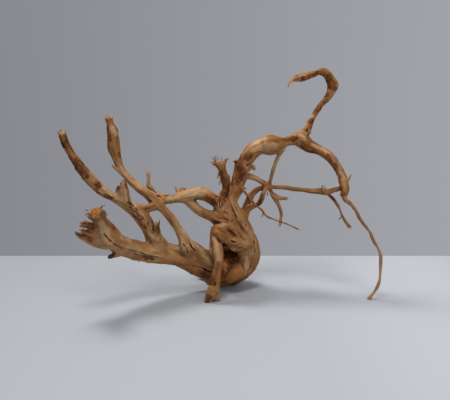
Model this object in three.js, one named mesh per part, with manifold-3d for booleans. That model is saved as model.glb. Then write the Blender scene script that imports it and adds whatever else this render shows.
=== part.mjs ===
// A dry root: one piece of weathered, debarked wood that stands on its bole, a front leg and one
// long thin root. Every limb is a run of stations [x, y, z, radius] in millimetres, thick end
// first. The limbs are swept as round bars along a smooth curve and joined into one solid.
// +Z is up, +X is to the right and -Y is the front. The origin is at the bottom centre.
import * as THREE from "three";
import { mergeVertices } from "three/addons/utils/BufferGeometryUtils.js";
import Module from "manifold-3d";

const FLOOR_Z = 0; // the wood is worn flat where it rests
const TRIM_DEPTH = 60; // depth of the block that trims the underside
const TRIM_WIDTH = 700;
const WOOD_COLOUR = 0x946639;
const WOOD_ROUGHNESS = 0.75;

// Facets round a limb: [least radius, number of sides], thickest first.
const SIDES_BY_RADIUS = [[11, 10], [6, 8], [2.5, 6], [0, 5]];
const STEP_PER_RADIUS = 2; // length of one facet along a limb, in radii
const LONGEST_STEP = 18;
const SHORTEST_STEP = 7;
const WELD = 1e-4;

// The open mouth low on the front of the bole, between the bulge and the leg.
const MOUTH_CENTRE = [2, 9, 66];
const MOUTH_RADII = [11, 24, 19];
const MOUTH_FACETS = [12, 8];

// The bole: the swollen foot of the root, its back wall, the folds on its face and the
// plate low on its front.
const BOLE = {
  bole: [
    [-27, 26, 22, 10.5], [-11, 29, 22, 11.5], [9, 32, 28, 14], [25, 33, 40, 16], [32, 31, 55, 16.5],
    [31, 28, 75, 17.5], [20, 25, 93, 21.5], [10, 24, 112, 23.5], [3, 24, 128, 19.5],
    [1, 25, 142, 14], [6, 27, 156, 12], [13, 29, 171, 11.5], [17, 31, 187, 11], [20, 32, 199, 10.5],
  ],
  backWall: [
    [7, 34, 134, 8], [9, 39, 120, 15], [12, 42, 106, 22], [7, 50, 84, 24.5], [5, 54, 61, 22.5],
    [6, 50, 40, 20], [6, 42, 27, 15],
  ],
  rootBase: [
    [-28, 58, 13, 12], [-10, 54, 15, 16.5], [8, 50, 15.5, 16.5], [24, 45, 26, 14],
  ],
  backRoot: [
    [-12, 50, 24, 15], [-28, 66, 15, 12.5], [-45, 82, 7, 9.5],
  ],
  frontBulge: [
    [22, 16, 85, 13.5], [13, 7, 89, 14], [3, 1, 95, 14], [-6, -3, 101, 13.5], [-14, -2, 105, 11.5],
    [-19, 3, 107, 7.5],
  ],
  bulgeLip: [
    [-20, 1, 110, 2.5], [-13, -7, 114, 3], [-5, -11, 114, 3], [3, -12, 111, 3], [11, -9, 103, 2.5],
  ],
  underLobe: [
    [-8, 10, 83, 4.5], [-1, 6, 78, 5.5], [8, 5, 77, 6.5], [16, 9, 79, 6],
  ],
  cheek: [
    [-11, 23, 144, 10], [-11, 20, 130, 12.5], [-8, 18, 116, 14], [2, 17, 108, 15.5],
    [11, 19, 100, 15.5], [21, 22, 88, 14], [27, 24, 73, 12.5],
  ],
  basePlate: [
    [17, 16, 43, 6.5], [12, 12, 40, 9.5], [6, 10, 34, 10], [-1, 12, 28, 6.5],
  ],
  plateBody: [
    [25, 27, 38, 13.5], [15, 21, 33, 13.5], [2, 21, 27, 12],
  ],
  faceRidge: [
    [2, 13, 153, 2], [6, 6, 144, 2], [11, 2, 134, 2], [17, 1, 123, 2], [22, 0, 112, 2],
    [28, 4, 102, 1.5],
  ],
  ridgeBody: [
    [3, 20, 149, 7], [8, 14, 138, 8.5], [14, 11, 126, 11], [20, 11, 113, 11.5], [27, 15, 99, 11.5],
  ],
  faceFoldA: [
    [-12, 13, 142, 2.5], [-8, 9, 137, 2.5], [-2, 7, 130, 2.5], [2, 5, 127, 2.5],
  ],
  faceFoldB: [
    [0, 11, 146, 2.5], [3, 8, 139, 2.5], [8, 5, 130, 2.5], [12, 4, 119, 2.5],
  ],
  faceFoldC: [
    [-18, 12, 124, 2.5], [-12, 6, 119, 3], [-4, 2, 117, 2.5], [2, 0, 113, 2.5],
  ],
  faceFoldD: [
    [-15, 13, 133, 2.5], [-10, 9, 129, 2.5], [-4, 5, 123, 2.5],
  ],
  faceFoldE: [
    [8, 4, 118, 2], [11, 2, 112, 2.5], [17, 2, 106, 2.5],
  ],
  knobByLeg: [
    [-26, 10, 52, 8], [-30, 12, 65, 5], [-32, 12, 69, 3.5],
  ],
  trunkKnot: [
    [15, 32, 206, 5.5], [8, 30, 208, 2.5],
  ],
  curledStub: [
    [22, 22, 189, 5.5], [28, 18, 196, 4.5], [33, 15, 200, 3.5], [37, 13, 202, 2.5],
    [38, 12, 198, 2],
  ],
};

// The leg that stands in front of the bole on its own toe.
const LEG = {
  frontLeg: [
    [-17, 4, 101, 10.5], [-19, -3, 90, 9.5], [-19, -9, 77, 9], [-16, -13, 65, 7], [-16, -16, 57, 7],
    [-18, -18, 47, 6.5], [-20, -20, 36, 7], [-21, -21, 25, 7], [-24, -22, 16, 9],
    [-30, -22, 7, 6.5], [-34, -24, 1, 3.5],
  ],
  legHeel: [
    [-21, -21, 20, 7], [-18, -18, 4, 5],
  ],
};

// The heavy arm that runs out low to the left and forks into three broken ends.
const LEFT_ARM = {
  mainLimb: [
    [-11, 26, 27, 17.5], [-38, 20, 41, 19], [-61, 12, 56, 19], [-83, 4, 65, 16.5],
    [-105, -6, 72, 15], [-125, -18, 77, 13.5], [-145, -31, 86, 13.5], [-159, -43, 98, 14.5],
    [-170, -54, 114, 14.5],
  ],
  cutEnd: [
    [-164, -50, 110, 12.5], [-172, -61, 127, 11.5], [-175, -70, 139, 10.5], [-177, -76, 147, 11],
    [-179, -80, 151, 12],
  ],
  raggedEnd: [
    [-169, -58, 116, 10.5], [-182, -64, 123, 7.5], [-191, -69, 129, 6], [-198, -74, 133, 5.5],
  ],
  shardEnd: [
    [-173, -56, 103, 10], [-187, -60, 105, 7], [-196, -64, 110, 5], [-205, -67, 115, 3.5],
    [-210, -69, 120, 1.5],
  ],
  gapFibres: [
    [-179, -60, 114, 7], [-189, -65, 118, 5], [-196, -68, 120, 3.5], [-202, -71, 121, 2],
  ],
  undersideKnob: [
    [-154, -42, 85, 6.5], [-163, -48, 82, 4.5], [-168, -54, 81, 2.5],
  ],
  shoulder: [
    [-69, -2, 81, 9], [-60, 0, 83, 11.5], [-46, 4, 70, 11], [-32, 8, 53, 9.5], [-23, 10, 39, 7],
  ],
  web: [
    [-108, -8, 104, 4.5], [-102, -6, 93, 5], [-93, -4, 82, 4.5], [-78, -2, 77, 4.5],
  ],
};

// The branch that rises from the arm and leans to the far left.
const LEFT_BRANCH = {
  leftBranch: [
    [-107, -10, 82, 11.5], [-118, -16, 113, 9.5], [-126, -21, 129, 9.5], [-138, -26, 143, 8.5],
    [-154, -30, 156, 7.5], [-169, -33, 164, 6.5], [-184, -36, 176, 8], [-196, -38, 190, 7.5],
    [-206, -40, 204, 7], [-214, -42, 217, 6], [-220, -45, 229, 5.5], [-224, -49, 241, 6],
    [-225, -55, 254, 5.5],
  ],
  leftBranchStub: [
    [-148, -31, 157, 7], [-149, -34, 170, 6.5], [-149, -38, 182, 5], [-149, -39, 184, 3.5],
  ],
  stubLobe: [
    [-155, -32, 164, 5], [-158, -30, 172, 4.5], [-158, -30, 176, 2],
  ],
  leftBranchSplinter: [
    [-108, -18, 98, 6.5], [-106, -20, 113, 4.5], [-102, -22, 126, 1],
  ],
  crossBranch: [
    [-105, -3, 147, 6.5], [-116, -10, 143, 6], [-125, -18, 143, 5.5], [-134, -25, 144, 6],
  ],
};

// The taller branch behind it, and the bough that ties it to the bole.
const TALL_BRANCH = {
  tallBranch: [
    [-63, 0, 79, 12], [-68, -1, 91, 9.5], [-76, -1, 105, 8], [-95, -3, 134, 7.5],
    [-118, -3, 161, 7], [-136, -1, 173, 7], [-151, 1, 186, 6.5], [-162, 4, 202, 5.5],
    [-168, 7, 217, 7.5], [-172, 9, 231, 9.5], [-173, 11, 245, 8.5], [-174, 12, 255, 8],
    [-177, 13, 266, 5.5], [-179, 12, 276, 7],
  ],
  tallBranchSpur: [
    [-157, 1, 189, 3.5], [-164, 0, 196, 2.5], [-173, -2, 206, 2],
  ],
  bough: [
    [-8, 24, 140, 12.5], [-20, 22, 146, 10], [-32, 20, 154, 9.5], [-45, 19, 159, 9.5],
    [-58, 17, 158, 8], [-72, 15, 155, 7.5], [-87, 10, 152, 5], [-101, 2, 150, 5],
  ],
  boughFork: [
    [-11, 16, 115, 11.5], [-23, 16, 122, 9.5], [-35, 16, 128, 7.5], [-48, 16, 136, 7],
    [-60, 16, 147, 7], [-70, 15, 154, 5.5],
  ],
  boughBump: [
    [-51, 20, 162, 6], [-45, 21, 169, 2],
  ],
  hookTwig: [
    [-99, 7, 154, 3], [-107, 14, 159, 2.5], [-115, 20, 164, 3], [-124, 24, 170, 4],
    [-125, 26, 179, 3.5], [-125, 28, 190, 3.5],
  ],
  sideTwig: [
    [-108, 12, 158, 2.5], [-102, 18, 157, 2], [-94, 22, 157, 2], [-92, 23, 160, 1],
  ],
  boughTwigA: [
    [-76, 15, 156, 3], [-81, 18, 167, 1.5], [-83, 20, 172, 1],
  ],
  boughTwigB: [
    [-75, 16, 163, 3], [-72, 18, 167, 2.5], [-67, 20, 167, 1.5],
  ],
};

// The stub beside the neck, broken off in two horns.
const BROKEN_STUB = {
  brokenStub: [
    [-4, 21, 135, 11], [-10, 20, 151, 7.5], [-5, 20, 166, 5.5], [-5, 20, 180, 7], [-9, 19, 193, 6],
    [-12, 18, 203, 6],
  ],
  stubWeb: [
    [-1, 22, 185, 3.5], [-1, 23, 170, 4.5], [-3, 22, 153, 6],
  ],
  brokenStubLeft: [
    [-11, 18, 200, 4.5], [-17, 16, 204, 4], [-23, 14, 207, 2.5],
  ],
  brokenStubRight: [
    [-10, 18, 200, 4.5], [-8, 19, 207, 3.5], [-4, 20, 212, 1.5],
  ],
};

// The neck that bends over into the long arch to the right.
const ARCH = {
  arch: [
    [20, 32, 199, 10.5], [27, 34, 210, 10.5], [37, 35, 224, 10.5], [51, 36, 230, 10.5],
    [63, 36, 233, 14.5], [73, 36, 233, 13], [85, 36, 236, 7.5], [94, 36, 239, 7.5],
    [105, 36, 242, 9.5], [114, 35, 239, 11], [123, 33, 232, 10], [133, 30, 228, 8.5],
    [142, 27, 224, 7.5], [154, 23, 215, 7], [163, 18, 203, 6.5], [170, 13, 191, 6.5],
    [173, 9, 177, 7], [175, 7, 167, 7], [172, 7, 155, 6],
  ],
  armThorn: [
    [175, 9, 176, 4], [179, 6, 183, 3], [183, 2, 192, 1],
  ],
};

// The hook on top of the arch, ending in a shrivelled leaf of bark.
const HOOK = {
  hook: [
    [111, 35, 244, 8.5], [118, 36, 252, 8], [123, 38, 260, 6], [127, 40, 269, 5], [132, 42, 278, 4],
    [138, 44, 287, 4.5], [144, 46, 295, 4.5], [152, 48, 304, 5], [158, 49, 314, 6],
    [160, 49, 323, 8], [156, 48, 332, 7], [151, 46, 339, 6.5], [142, 42, 344, 5],
  ],
  hookLeaf: [
    [145, 43, 343, 5], [137, 40, 343, 4.5], [126, 35, 339, 5.5], [113, 30, 335, 6],
    [103, 25, 333, 5], [94, 20, 330, 3], [89, 16, 325, 1.5], [87, 14, 320, 1],
  ],
  hookKnob: [
    [119, 33, 254, 4.5], [123, 30, 252, 2.5],
  ],
  hookCollar: [
    [114, 31, 248, 4.5], [117, 28, 246, 2.5],
  ],
  hookBump: [
    [158, 46, 324, 6], [163, 45, 325, 4],
  ],
};

// The thin roots that grow into each other under the arch.
const RIGHT_TWIGS = {
  upperArc: [
    [22, 36, 183, 7], [31, 38, 183, 5.5], [40, 40, 181, 5], [48, 42, 177, 4.5], [56, 44, 172, 4.5],
    [63, 45, 167, 4.5],
  ],
  midBranch: [
    [19, 34, 111, 9], [24, 42, 122, 7.5], [28, 48, 132, 6.5], [32, 51, 142, 6], [36, 52, 150, 5.5],
    [42, 52, 157, 5], [48, 50, 162, 4.5], [56, 47, 164, 4], [63, 45, 166, 4],
  ],
  midFork: [
    [26, 44, 124, 6], [33, 45, 131, 5], [41, 43, 136, 4], [48, 40, 140, 4], [52, 38, 146, 4],
    [54, 38, 153, 4], [57, 41, 160, 3.5], [61, 44, 165, 3.5],
  ],
  uprightTwig: [
    [84, 34, 230, 4.5], [81, 33, 223, 3.5], [76, 34, 213, 3], [71, 36, 199, 3], [67, 40, 182, 3],
    [64, 44, 168, 3],
  ],
  uprightSpur: [
    [81, 32, 224, 3], [84, 29, 225, 2], [88, 27, 224, 1],
  ],
  levelTwig: [
    [63, 45, 167, 4], [71, 43, 166, 3.5], [87, 39, 166, 3.5], [102, 35, 164, 3.5],
    [116, 31, 163, 3.5], [131, 28, 162, 4], [143, 25, 162, 4.5], [153, 22, 161, 5],
    [162, 18, 165, 4.5], [171, 12, 169, 4.5],
  ],
  levelKnob: [
    [148, 22, 162, 4.5], [145, 19, 169, 3.5],
  ],
  dropTwig: [
    [153, 22, 159, 3.5], [158, 23, 154, 3], [165, 25, 147, 2.5], [173, 28, 135, 2.5],
    [180, 31, 120, 2.5], [187, 33, 110, 2.5], [193, 34, 103, 3],
  ],
  downTwig: [
    [61, 45, 168, 4], [66, 47, 161, 3.5], [71, 49, 151, 3.5], [77, 51, 142, 3.5], [83, 53, 130, 3],
    [86, 54, 120, 3], [85, 54, 110, 2.5], [84, 53, 100, 2.5],
  ],
  downTwigSide: [
    [72, 49, 152, 3.5], [80, 46, 148, 3.5], [87, 43, 148, 3], [93, 40, 148, 2.5],
  ],
  thinRootlet: [
    [17, 22, 169, 3], [21, 20, 165, 2.5], [25, 18, 161, 2], [30, 16, 155, 2], [35, 15, 149, 2],
    [39, 15, 144, 2], [45, 15, 139, 1.5], [51, 15, 134, 1.5], [55, 15, 128, 1.5],
    [61, 15, 123, 1.5], [69, 14, 120, 1], [77, 12, 117, 1], [85, 10, 115, 1], [93, 8, 112, 1],
    [100, 6, 109, 1], [107, 4, 106, 1],
  ],
};

// The long thin root that curves down to the floor on the right.
const PROP = {
  longTwig: [
    [172, 7, 159, 4], [176, 5, 152, 3.5], [185, 2, 145, 3], [192, -1, 135, 2.5],
    [199, -4, 122, 2.5], [211, -8, 106, 2.5], [216, -11, 94, 2.5], [223, -14, 82, 2.5],
    [227, -16, 71, 2.5], [228, -17, 56, 2.5], [228, -17, 40, 2.5], [227, -16, 26, 2.5],
    [222, -14, 13, 2.5], [214, -12, -1, 2.5],
  ],
};

const wasm = await Module();
wasm.setup();

function toSolid(geometry) {
  const bare = geometry.clone();
  bare.deleteAttribute("normal");
  bare.deleteAttribute("uv");
  const welded = mergeVertices(bare, WELD);
  const mesh = new wasm.Mesh({
    numProp: 3,
    vertProperties: Float32Array.from(welded.attributes.position.array),
    triVerts: Uint32Array.from(welded.index.array),
  });
  return new wasm.Manifold(mesh);
}

function toGeometry(solid) {
  const mesh = solid.getMesh();
  const geometry = new THREE.BufferGeometry();
  geometry.setAttribute("position", new THREE.BufferAttribute(mesh.vertProperties, 3));
  geometry.setIndex(new THREE.BufferAttribute(mesh.triVerts, 1));
  geometry.computeVertexNormals();
  return geometry;
}

function radiusAt(stations, place) {
  const first = Math.min(Math.floor(place), stations.length - 2);
  return THREE.MathUtils.lerp(stations[first][3], stations[first + 1][3], place - first);
}

function sidesFor(stations) {
  const thickest = Math.max(...stations.map((station) => station[3]));
  return SIDES_BY_RADIUS.find(([least]) => thickest >= least)[1];
}

// A round bar swept along the stations: a cylinder whose rings are moved onto the curve.
function limb(stations) {
  const points = stations.map(([x, y, z]) => new THREE.Vector3(x, y, z));
  const path = new THREE.CatmullRomCurve3(points, false, "catmullrom", 0.5);
  const meanRadius = stations.reduce((sum, station) => sum + station[3], 0) / stations.length;
  const step = THREE.MathUtils.clamp(meanRadius * STEP_PER_RADIUS, SHORTEST_STEP, LONGEST_STEP);
  const steps = Math.max(2, Math.round(path.getLength() / step));
  const frames = path.computeFrenetFrames(steps, false);
  const bar = new THREE.CylinderGeometry(1, 1, 1, sidesFor(stations), steps);
  const position = bar.attributes.position;
  for (let i = 0; i < position.count; i += 1) {
    const ring = Math.round((0.5 - position.getY(i)) * steps);
    const along = ring / steps;
    const radius = radiusAt(stations, path.getUtoTmapping(along) * (stations.length - 1));
    const point = path
      .getPointAt(along)
      .addScaledVector(frames.normals[ring], position.getX(i) * radius)
      .addScaledVector(frames.binormals[ring], position.getZ(i) * radius);
    position.setXYZ(i, point.x, point.y, point.z);
  }
  return toSolid(bar);
}

function mouth() {
  const ball = new THREE.SphereGeometry(1, ...MOUTH_FACETS);
  ball.scale(...MOUTH_RADII);
  ball.translate(...MOUTH_CENTRE);
  return toSolid(ball);
}

function underFloor() {
  const block = new THREE.BoxGeometry(TRIM_WIDTH, TRIM_WIDTH, TRIM_DEPTH);
  block.translate(0, 0, FLOOR_Z - TRIM_DEPTH / 2);
  return toSolid(block);
}

function joined(...groups) {
  const solids = groups.flatMap((group) => Object.values(group).map(limb));
  return solids.reduce((whole, next) => whole.add(next));
}

const bole = joined(BOLE).subtract(mouth());
const limbs = joined(LEG, LEFT_ARM, LEFT_BRANCH, TALL_BRANCH, BROKEN_STUB, ARCH, HOOK, RIGHT_TWIGS, PROP);
const wood = new THREE.MeshStandardMaterial({ color: WOOD_COLOUR, roughness: WOOD_ROUGHNESS, metalness: 0 });
const root = new THREE.Mesh(toGeometry(bole.add(limbs).subtract(underFloor())), wood);
root.name = "dry_root";

// The middle of the root's box goes over the origin.
root.geometry.computeBoundingBox();
const middle = root.geometry.boundingBox.getCenter(new THREE.Vector3());
root.position.set(-middle.x, -middle.y, -FLOOR_Z);

const part = new THREE.Group();
part.add(root);
export default part;
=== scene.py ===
import itertools
import math

import bpy
import numpy as np
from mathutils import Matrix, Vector


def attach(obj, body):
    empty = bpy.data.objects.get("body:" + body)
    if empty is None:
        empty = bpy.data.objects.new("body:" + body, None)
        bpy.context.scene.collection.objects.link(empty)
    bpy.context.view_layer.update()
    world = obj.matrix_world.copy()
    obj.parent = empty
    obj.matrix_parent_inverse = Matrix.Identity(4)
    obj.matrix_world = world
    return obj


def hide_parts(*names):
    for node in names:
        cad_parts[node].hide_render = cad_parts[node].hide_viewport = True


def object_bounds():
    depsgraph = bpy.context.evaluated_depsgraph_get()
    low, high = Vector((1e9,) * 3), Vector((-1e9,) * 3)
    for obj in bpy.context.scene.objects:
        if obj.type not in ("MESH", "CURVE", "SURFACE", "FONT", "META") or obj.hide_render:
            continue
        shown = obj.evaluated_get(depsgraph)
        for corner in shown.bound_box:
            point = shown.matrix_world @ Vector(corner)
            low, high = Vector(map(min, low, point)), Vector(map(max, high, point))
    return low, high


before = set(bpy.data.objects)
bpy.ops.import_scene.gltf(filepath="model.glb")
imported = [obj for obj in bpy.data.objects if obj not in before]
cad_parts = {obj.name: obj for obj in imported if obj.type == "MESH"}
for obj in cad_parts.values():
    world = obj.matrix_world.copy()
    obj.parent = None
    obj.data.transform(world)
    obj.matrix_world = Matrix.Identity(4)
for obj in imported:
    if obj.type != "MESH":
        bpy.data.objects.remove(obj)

# A dry root, debarked and weathered, that stands on its bole, the toe of its leg, a back root and
# the tip of one long thin root. The wood is worked out in millimetres and made a mesh in metres.
cad_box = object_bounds()
NODE = "dry_root"
BODY = "root"
MM = 0.001
SEED = 11

# Limbs: each is a run of stations (x, y, z, radius) in millimetres along its centre line.

# The bole: the swollen foot of the root, its back wall, the folds on its face and the
# plate low on its front.
BOLE = {
    "bole": [
        (-27, 26, 22, 10.5), (-11, 29, 22, 11.5), (9, 32, 28, 14), (25, 33, 40, 16), (32, 31, 55, 16.5),
        (31, 28, 75, 17.5), (20, 25, 93, 21.5), (10, 24, 112, 23.5), (3, 24, 128, 19.5),
        (1, 25, 142, 14), (6, 27, 156, 12), (13, 29, 171, 11.5), (17, 31, 187, 11), (20, 32, 199, 10.5),
    ],
    "back_wall": [
        (7, 34, 134, 8), (9, 39, 120, 15), (12, 42, 106, 22), (7, 50, 84, 24.5), (5, 54, 61, 22.5),
        (6, 50, 40, 20), (6, 42, 27, 15),
    ],
    "root_base": [
        (-28, 58, 13, 12), (-10, 54, 15, 16.5), (8, 50, 15.5, 16.5), (24, 45, 26, 14),
    ],
    "back_root": [
        (-12, 50, 24, 15), (-28, 66, 15, 12.5), (-45, 82, 7, 9.5),
    ],
    "front_bulge": [
        (22, 16, 85, 13.5), (13, 7, 89, 14), (3, 1, 95, 14), (-6, -3, 101, 13.5), (-14, -2, 105, 11.5),
        (-19, 3, 107, 7.5),
    ],
    "bulge_lip": [
        (-20, 1, 110, 2.5), (-13, -7, 114, 3), (-5, -11, 114, 3), (3, -12, 111, 3), (11, -9, 103, 2.5),
    ],
    "under_lobe": [
        (-8, 10, 83, 4.5), (-1, 6, 78, 5.5), (8, 5, 77, 6.5), (16, 9, 79, 6),
    ],
    "cheek": [
        (-11, 23, 144, 10), (-11, 20, 130, 12.5), (-8, 18, 116, 14), (2, 17, 108, 15.5),
        (11, 19, 100, 15.5), (21, 22, 88, 14), (27, 24, 73, 12.5),
    ],
    "base_plate": [
        (17, 16, 43, 6.5), (12, 12, 40, 9.5), (6, 10, 34, 10), (-1, 12, 28, 6.5),
    ],
    "plate_body": [
        (25, 27, 38, 13.5), (15, 21, 33, 13.5), (2, 21, 27, 12),
    ],
    "face_ridge": [
        (2, 13, 153, 2), (6, 6, 144, 2), (11, 2, 134, 2), (17, 1, 123, 2), (22, 0, 112, 2),
        (28, 4, 102, 1.5),
    ],
    "ridge_body": [
        (3, 20, 149, 7), (8, 14, 138, 8.5), (14, 11, 126, 11), (20, 11, 113, 11.5), (27, 15, 99, 11.5),
    ],
    "face_fold_a": [
        (-12, 13, 142, 2.5), (-8, 9, 137, 2.5), (-2, 7, 130, 2.5), (2, 5, 127, 2.5),
    ],
    "face_fold_b": [
        (0, 11, 146, 2.5), (3, 8, 139, 2.5), (8, 5, 130, 2.5), (12, 4, 119, 2.5),
    ],
    "face_fold_c": [
        (-18, 12, 124, 2.5), (-12, 6, 119, 3), (-4, 2, 117, 2.5), (2, 0, 113, 2.5),
    ],
    "face_fold_d": [
        (-15, 13, 133, 2.5), (-10, 9, 129, 2.5), (-4, 5, 123, 2.5),
    ],
    "face_fold_e": [
        (8, 4, 118, 2), (11, 2, 112, 2.5), (17, 2, 106, 2.5),
    ],
    "knob_by_leg": [
        (-26, 10, 52, 8), (-30, 12, 65, 5), (-32, 12, 69, 3.5),
    ],
    "trunk_knot": [
        (15, 32, 206, 5.5), (8, 30, 208, 2.5),
    ],
    "curled_stub": [
        (22, 22, 189, 5.5), (28, 18, 196, 4.5), (33, 15, 200, 3.5), (37, 13, 202, 2.5),
        (38, 12, 198, 2),
    ],
}

# The leg that stands in front of the bole on its own toe.
LEG = {
    "front_leg": [
        (-17, 4, 101, 10.5), (-19, -3, 90, 9.5), (-19, -9, 77, 9), (-16, -13, 65, 7), (-16, -16, 57, 7),
        (-18, -18, 47, 6.5), (-20, -20, 36, 7), (-21, -21, 25, 7), (-24, -22, 16, 9),
        (-30, -22, 7, 6.5), (-34, -24, 1, 3.5),
    ],
    "leg_heel": [
        (-21, -21, 20, 7), (-18, -18, 4, 5),
    ],
}

# The heavy arm that runs out low to the left and forks into three broken ends.
LEFT_ARM = {
    "main_limb": [
        (-11, 26, 27, 17.5), (-38, 20, 41, 19), (-61, 12, 56, 19), (-83, 4, 65, 16.5),
        (-105, -6, 72, 15), (-125, -18, 77, 13.5), (-145, -31, 86, 13.5), (-159, -43, 98, 14.5),
        (-170, -54, 114, 14.5),
    ],
    "cut_end": [
        (-164, -50, 110, 12.5), (-172, -61, 127, 11.5), (-175, -70, 139, 10.5), (-177, -76, 147, 11),
        (-179, -80, 151, 12),
    ],
    "ragged_end": [
        (-169, -58, 116, 10.5), (-182, -64, 123, 7.5), (-191, -69, 129, 6), (-198, -74, 133, 5.5),
    ],
    "shard_end": [
        (-173, -56, 103, 10), (-187, -60, 105, 7), (-196, -64, 110, 5), (-205, -67, 115, 3.5),
        (-210, -69, 120, 1.5),
    ],
    "gap_fibres": [
        (-179, -60, 114, 7), (-189, -65, 118, 5), (-196, -68, 120, 3.5), (-202, -71, 121, 2),
    ],
    "underside_knob": [
        (-154, -42, 85, 6.5), (-163, -48, 82, 4.5), (-168, -54, 81, 2.5),
    ],
    "shoulder": [
        (-69, -2, 81, 9), (-60, 0, 83, 11.5), (-46, 4, 70, 11), (-32, 8, 53, 9.5), (-23, 10, 39, 7),
    ],
    "web": [
        (-108, -8, 104, 4.5), (-102, -6, 93, 5), (-93, -4, 82, 4.5), (-78, -2, 77, 4.5),
    ],
}

# The branch that rises from the arm and leans to the far left.
LEFT_BRANCH = {
    "left_branch": [
        (-107, -10, 82, 11.5), (-118, -16, 113, 9.5), (-126, -21, 129, 9.5), (-138, -26, 143, 8.5),
        (-154, -30, 156, 7.5), (-169, -33, 164, 6.5), (-184, -36, 176, 8), (-196, -38, 190, 7.5),
        (-206, -40, 204, 7), (-214, -42, 217, 6), (-220, -45, 229, 5.5), (-224, -49, 241, 6),
        (-225, -55, 254, 5.5),
    ],
    "left_branch_stub": [
        (-148, -31, 157, 7), (-149, -34, 170, 6.5), (-149, -38, 182, 5), (-149, -39, 184, 3.5),
    ],
    "stub_lobe": [
        (-155, -32, 164, 5), (-158, -30, 172, 4.5), (-158, -30, 176, 2),
    ],
    "left_branch_splinter": [
        (-108, -18, 98, 6.5), (-106, -20, 113, 4.5), (-102, -22, 126, 1),
    ],
    "cross_branch": [
        (-105, -3, 147, 6.5), (-116, -10, 143, 6), (-125, -18, 143, 5.5), (-134, -25, 144, 6),
    ],
}

# The taller branch behind it, and the bough that ties it to the bole.
TALL_BRANCH = {
    "tall_branch": [
        (-63, 0, 79, 12), (-68, -1, 91, 9.5), (-76, -1, 105, 8), (-95, -3, 134, 7.5),
        (-118, -3, 161, 7), (-136, -1, 173, 7), (-151, 1, 186, 6.5), (-162, 4, 202, 5.5),
        (-168, 7, 217, 7.5), (-172, 9, 231, 9.5), (-173, 11, 245, 8.5), (-174, 12, 255, 8),
        (-177, 13, 266, 5.5), (-179, 12, 276, 7),
    ],
    "tall_branch_spur": [
        (-157, 1, 189, 3.5), (-164, 0, 196, 2.5), (-173, -2, 206, 2),
    ],
    "bough": [
        (-8, 24, 140, 12.5), (-20, 22, 146, 10), (-32, 20, 154, 9.5), (-45, 19, 159, 9.5),
        (-58, 17, 158, 8), (-72, 15, 155, 7.5), (-87, 10, 152, 5), (-101, 2, 150, 5),
    ],
    "bough_fork": [
        (-11, 16, 115, 11.5), (-23, 16, 122, 9.5), (-35, 16, 128, 7.5), (-48, 16, 136, 7),
        (-60, 16, 147, 7), (-70, 15, 154, 5.5),
    ],
    "bough_bump": [
        (-51, 20, 162, 6), (-45, 21, 169, 2),
    ],
    "hook_twig": [
        (-99, 7, 154, 3), (-107, 14, 159, 2.5), (-115, 20, 164, 3), (-124, 24, 170, 4),
        (-125, 26, 179, 3.5), (-125, 28, 190, 3.5),
    ],
    "side_twig": [
        (-108, 12, 158, 2.5), (-102, 18, 157, 2), (-94, 22, 157, 2), (-92, 23, 160, 1),
    ],
    "bough_twig_a": [
        (-76, 15, 156, 3), (-81, 18, 167, 1.5), (-83, 20, 172, 1),
    ],
    "bough_twig_b": [
        (-75, 16, 163, 3), (-72, 18, 167, 2.5), (-67, 20, 167, 1.5),
    ],
}

# The stub beside the neck, broken off in two horns.
BROKEN_STUB = {
    "broken_stub": [
        (-4, 21, 135, 11), (-10, 20, 151, 7.5), (-5, 20, 166, 5.5), (-5, 20, 180, 7), (-9, 19, 193, 6),
        (-12, 18, 203, 6),
    ],
    "stub_web": [
        (-1, 22, 185, 3.5), (-1, 23, 170, 4.5), (-3, 22, 153, 6),
    ],
    "broken_stub_left": [
        (-11, 18, 200, 4.5), (-17, 16, 204, 4), (-23, 14, 207, 2.5),
    ],
    "broken_stub_right": [
        (-10, 18, 200, 4.5), (-8, 19, 207, 3.5), (-4, 20, 212, 1.5),
    ],
}

# The neck that bends over into the long arch to the right.
ARCH = {
    "arch": [
        (20, 32, 199, 10.5), (27, 34, 210, 10.5), (37, 35, 224, 10.5), (51, 36, 230, 10.5),
        (63, 36, 233, 14.5), (73, 36, 233, 13), (85, 36, 236, 7.5), (94, 36, 239, 7.5),
        (105, 36, 242, 9.5), (114, 35, 239, 11), (123, 33, 232, 10), (133, 30, 228, 8.5),
        (142, 27, 224, 7.5), (154, 23, 215, 7), (163, 18, 203, 6.5), (170, 13, 191, 6.5),
        (173, 9, 177, 7), (175, 7, 167, 7), (172, 7, 155, 6),
    ],
    "arm_thorn": [
        (175, 9, 176, 4), (179, 6, 183, 3), (183, 2, 192, 1),
    ],
}

# The hook on top of the arch, ending in a shrivelled leaf of bark.
HOOK = {
    "hook": [
        (111, 35, 244, 8.5), (118, 36, 252, 8), (123, 38, 260, 6), (127, 40, 269, 5), (132, 42, 278, 4),
        (138, 44, 287, 4.5), (144, 46, 295, 4.5), (152, 48, 304, 5), (158, 49, 314, 6),
        (160, 49, 323, 8), (156, 48, 332, 7), (151, 46, 339, 6.5), (142, 42, 344, 5),
    ],
    "hook_leaf": [
        (145, 43, 343, 5), (137, 40, 343, 4.5), (126, 35, 339, 5.5), (113, 30, 335, 6),
        (103, 25, 333, 5), (94, 20, 330, 3), (89, 16, 325, 1.5), (87, 14, 320, 1),
    ],
    "hook_knob": [
        (119, 33, 254, 4.5), (123, 30, 252, 2.5),
    ],
    "hook_collar": [
        (114, 31, 248, 4.5), (117, 28, 246, 2.5),
    ],
    "hook_bump": [
        (158, 46, 324, 6), (163, 45, 325, 4),
    ],
}

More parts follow.
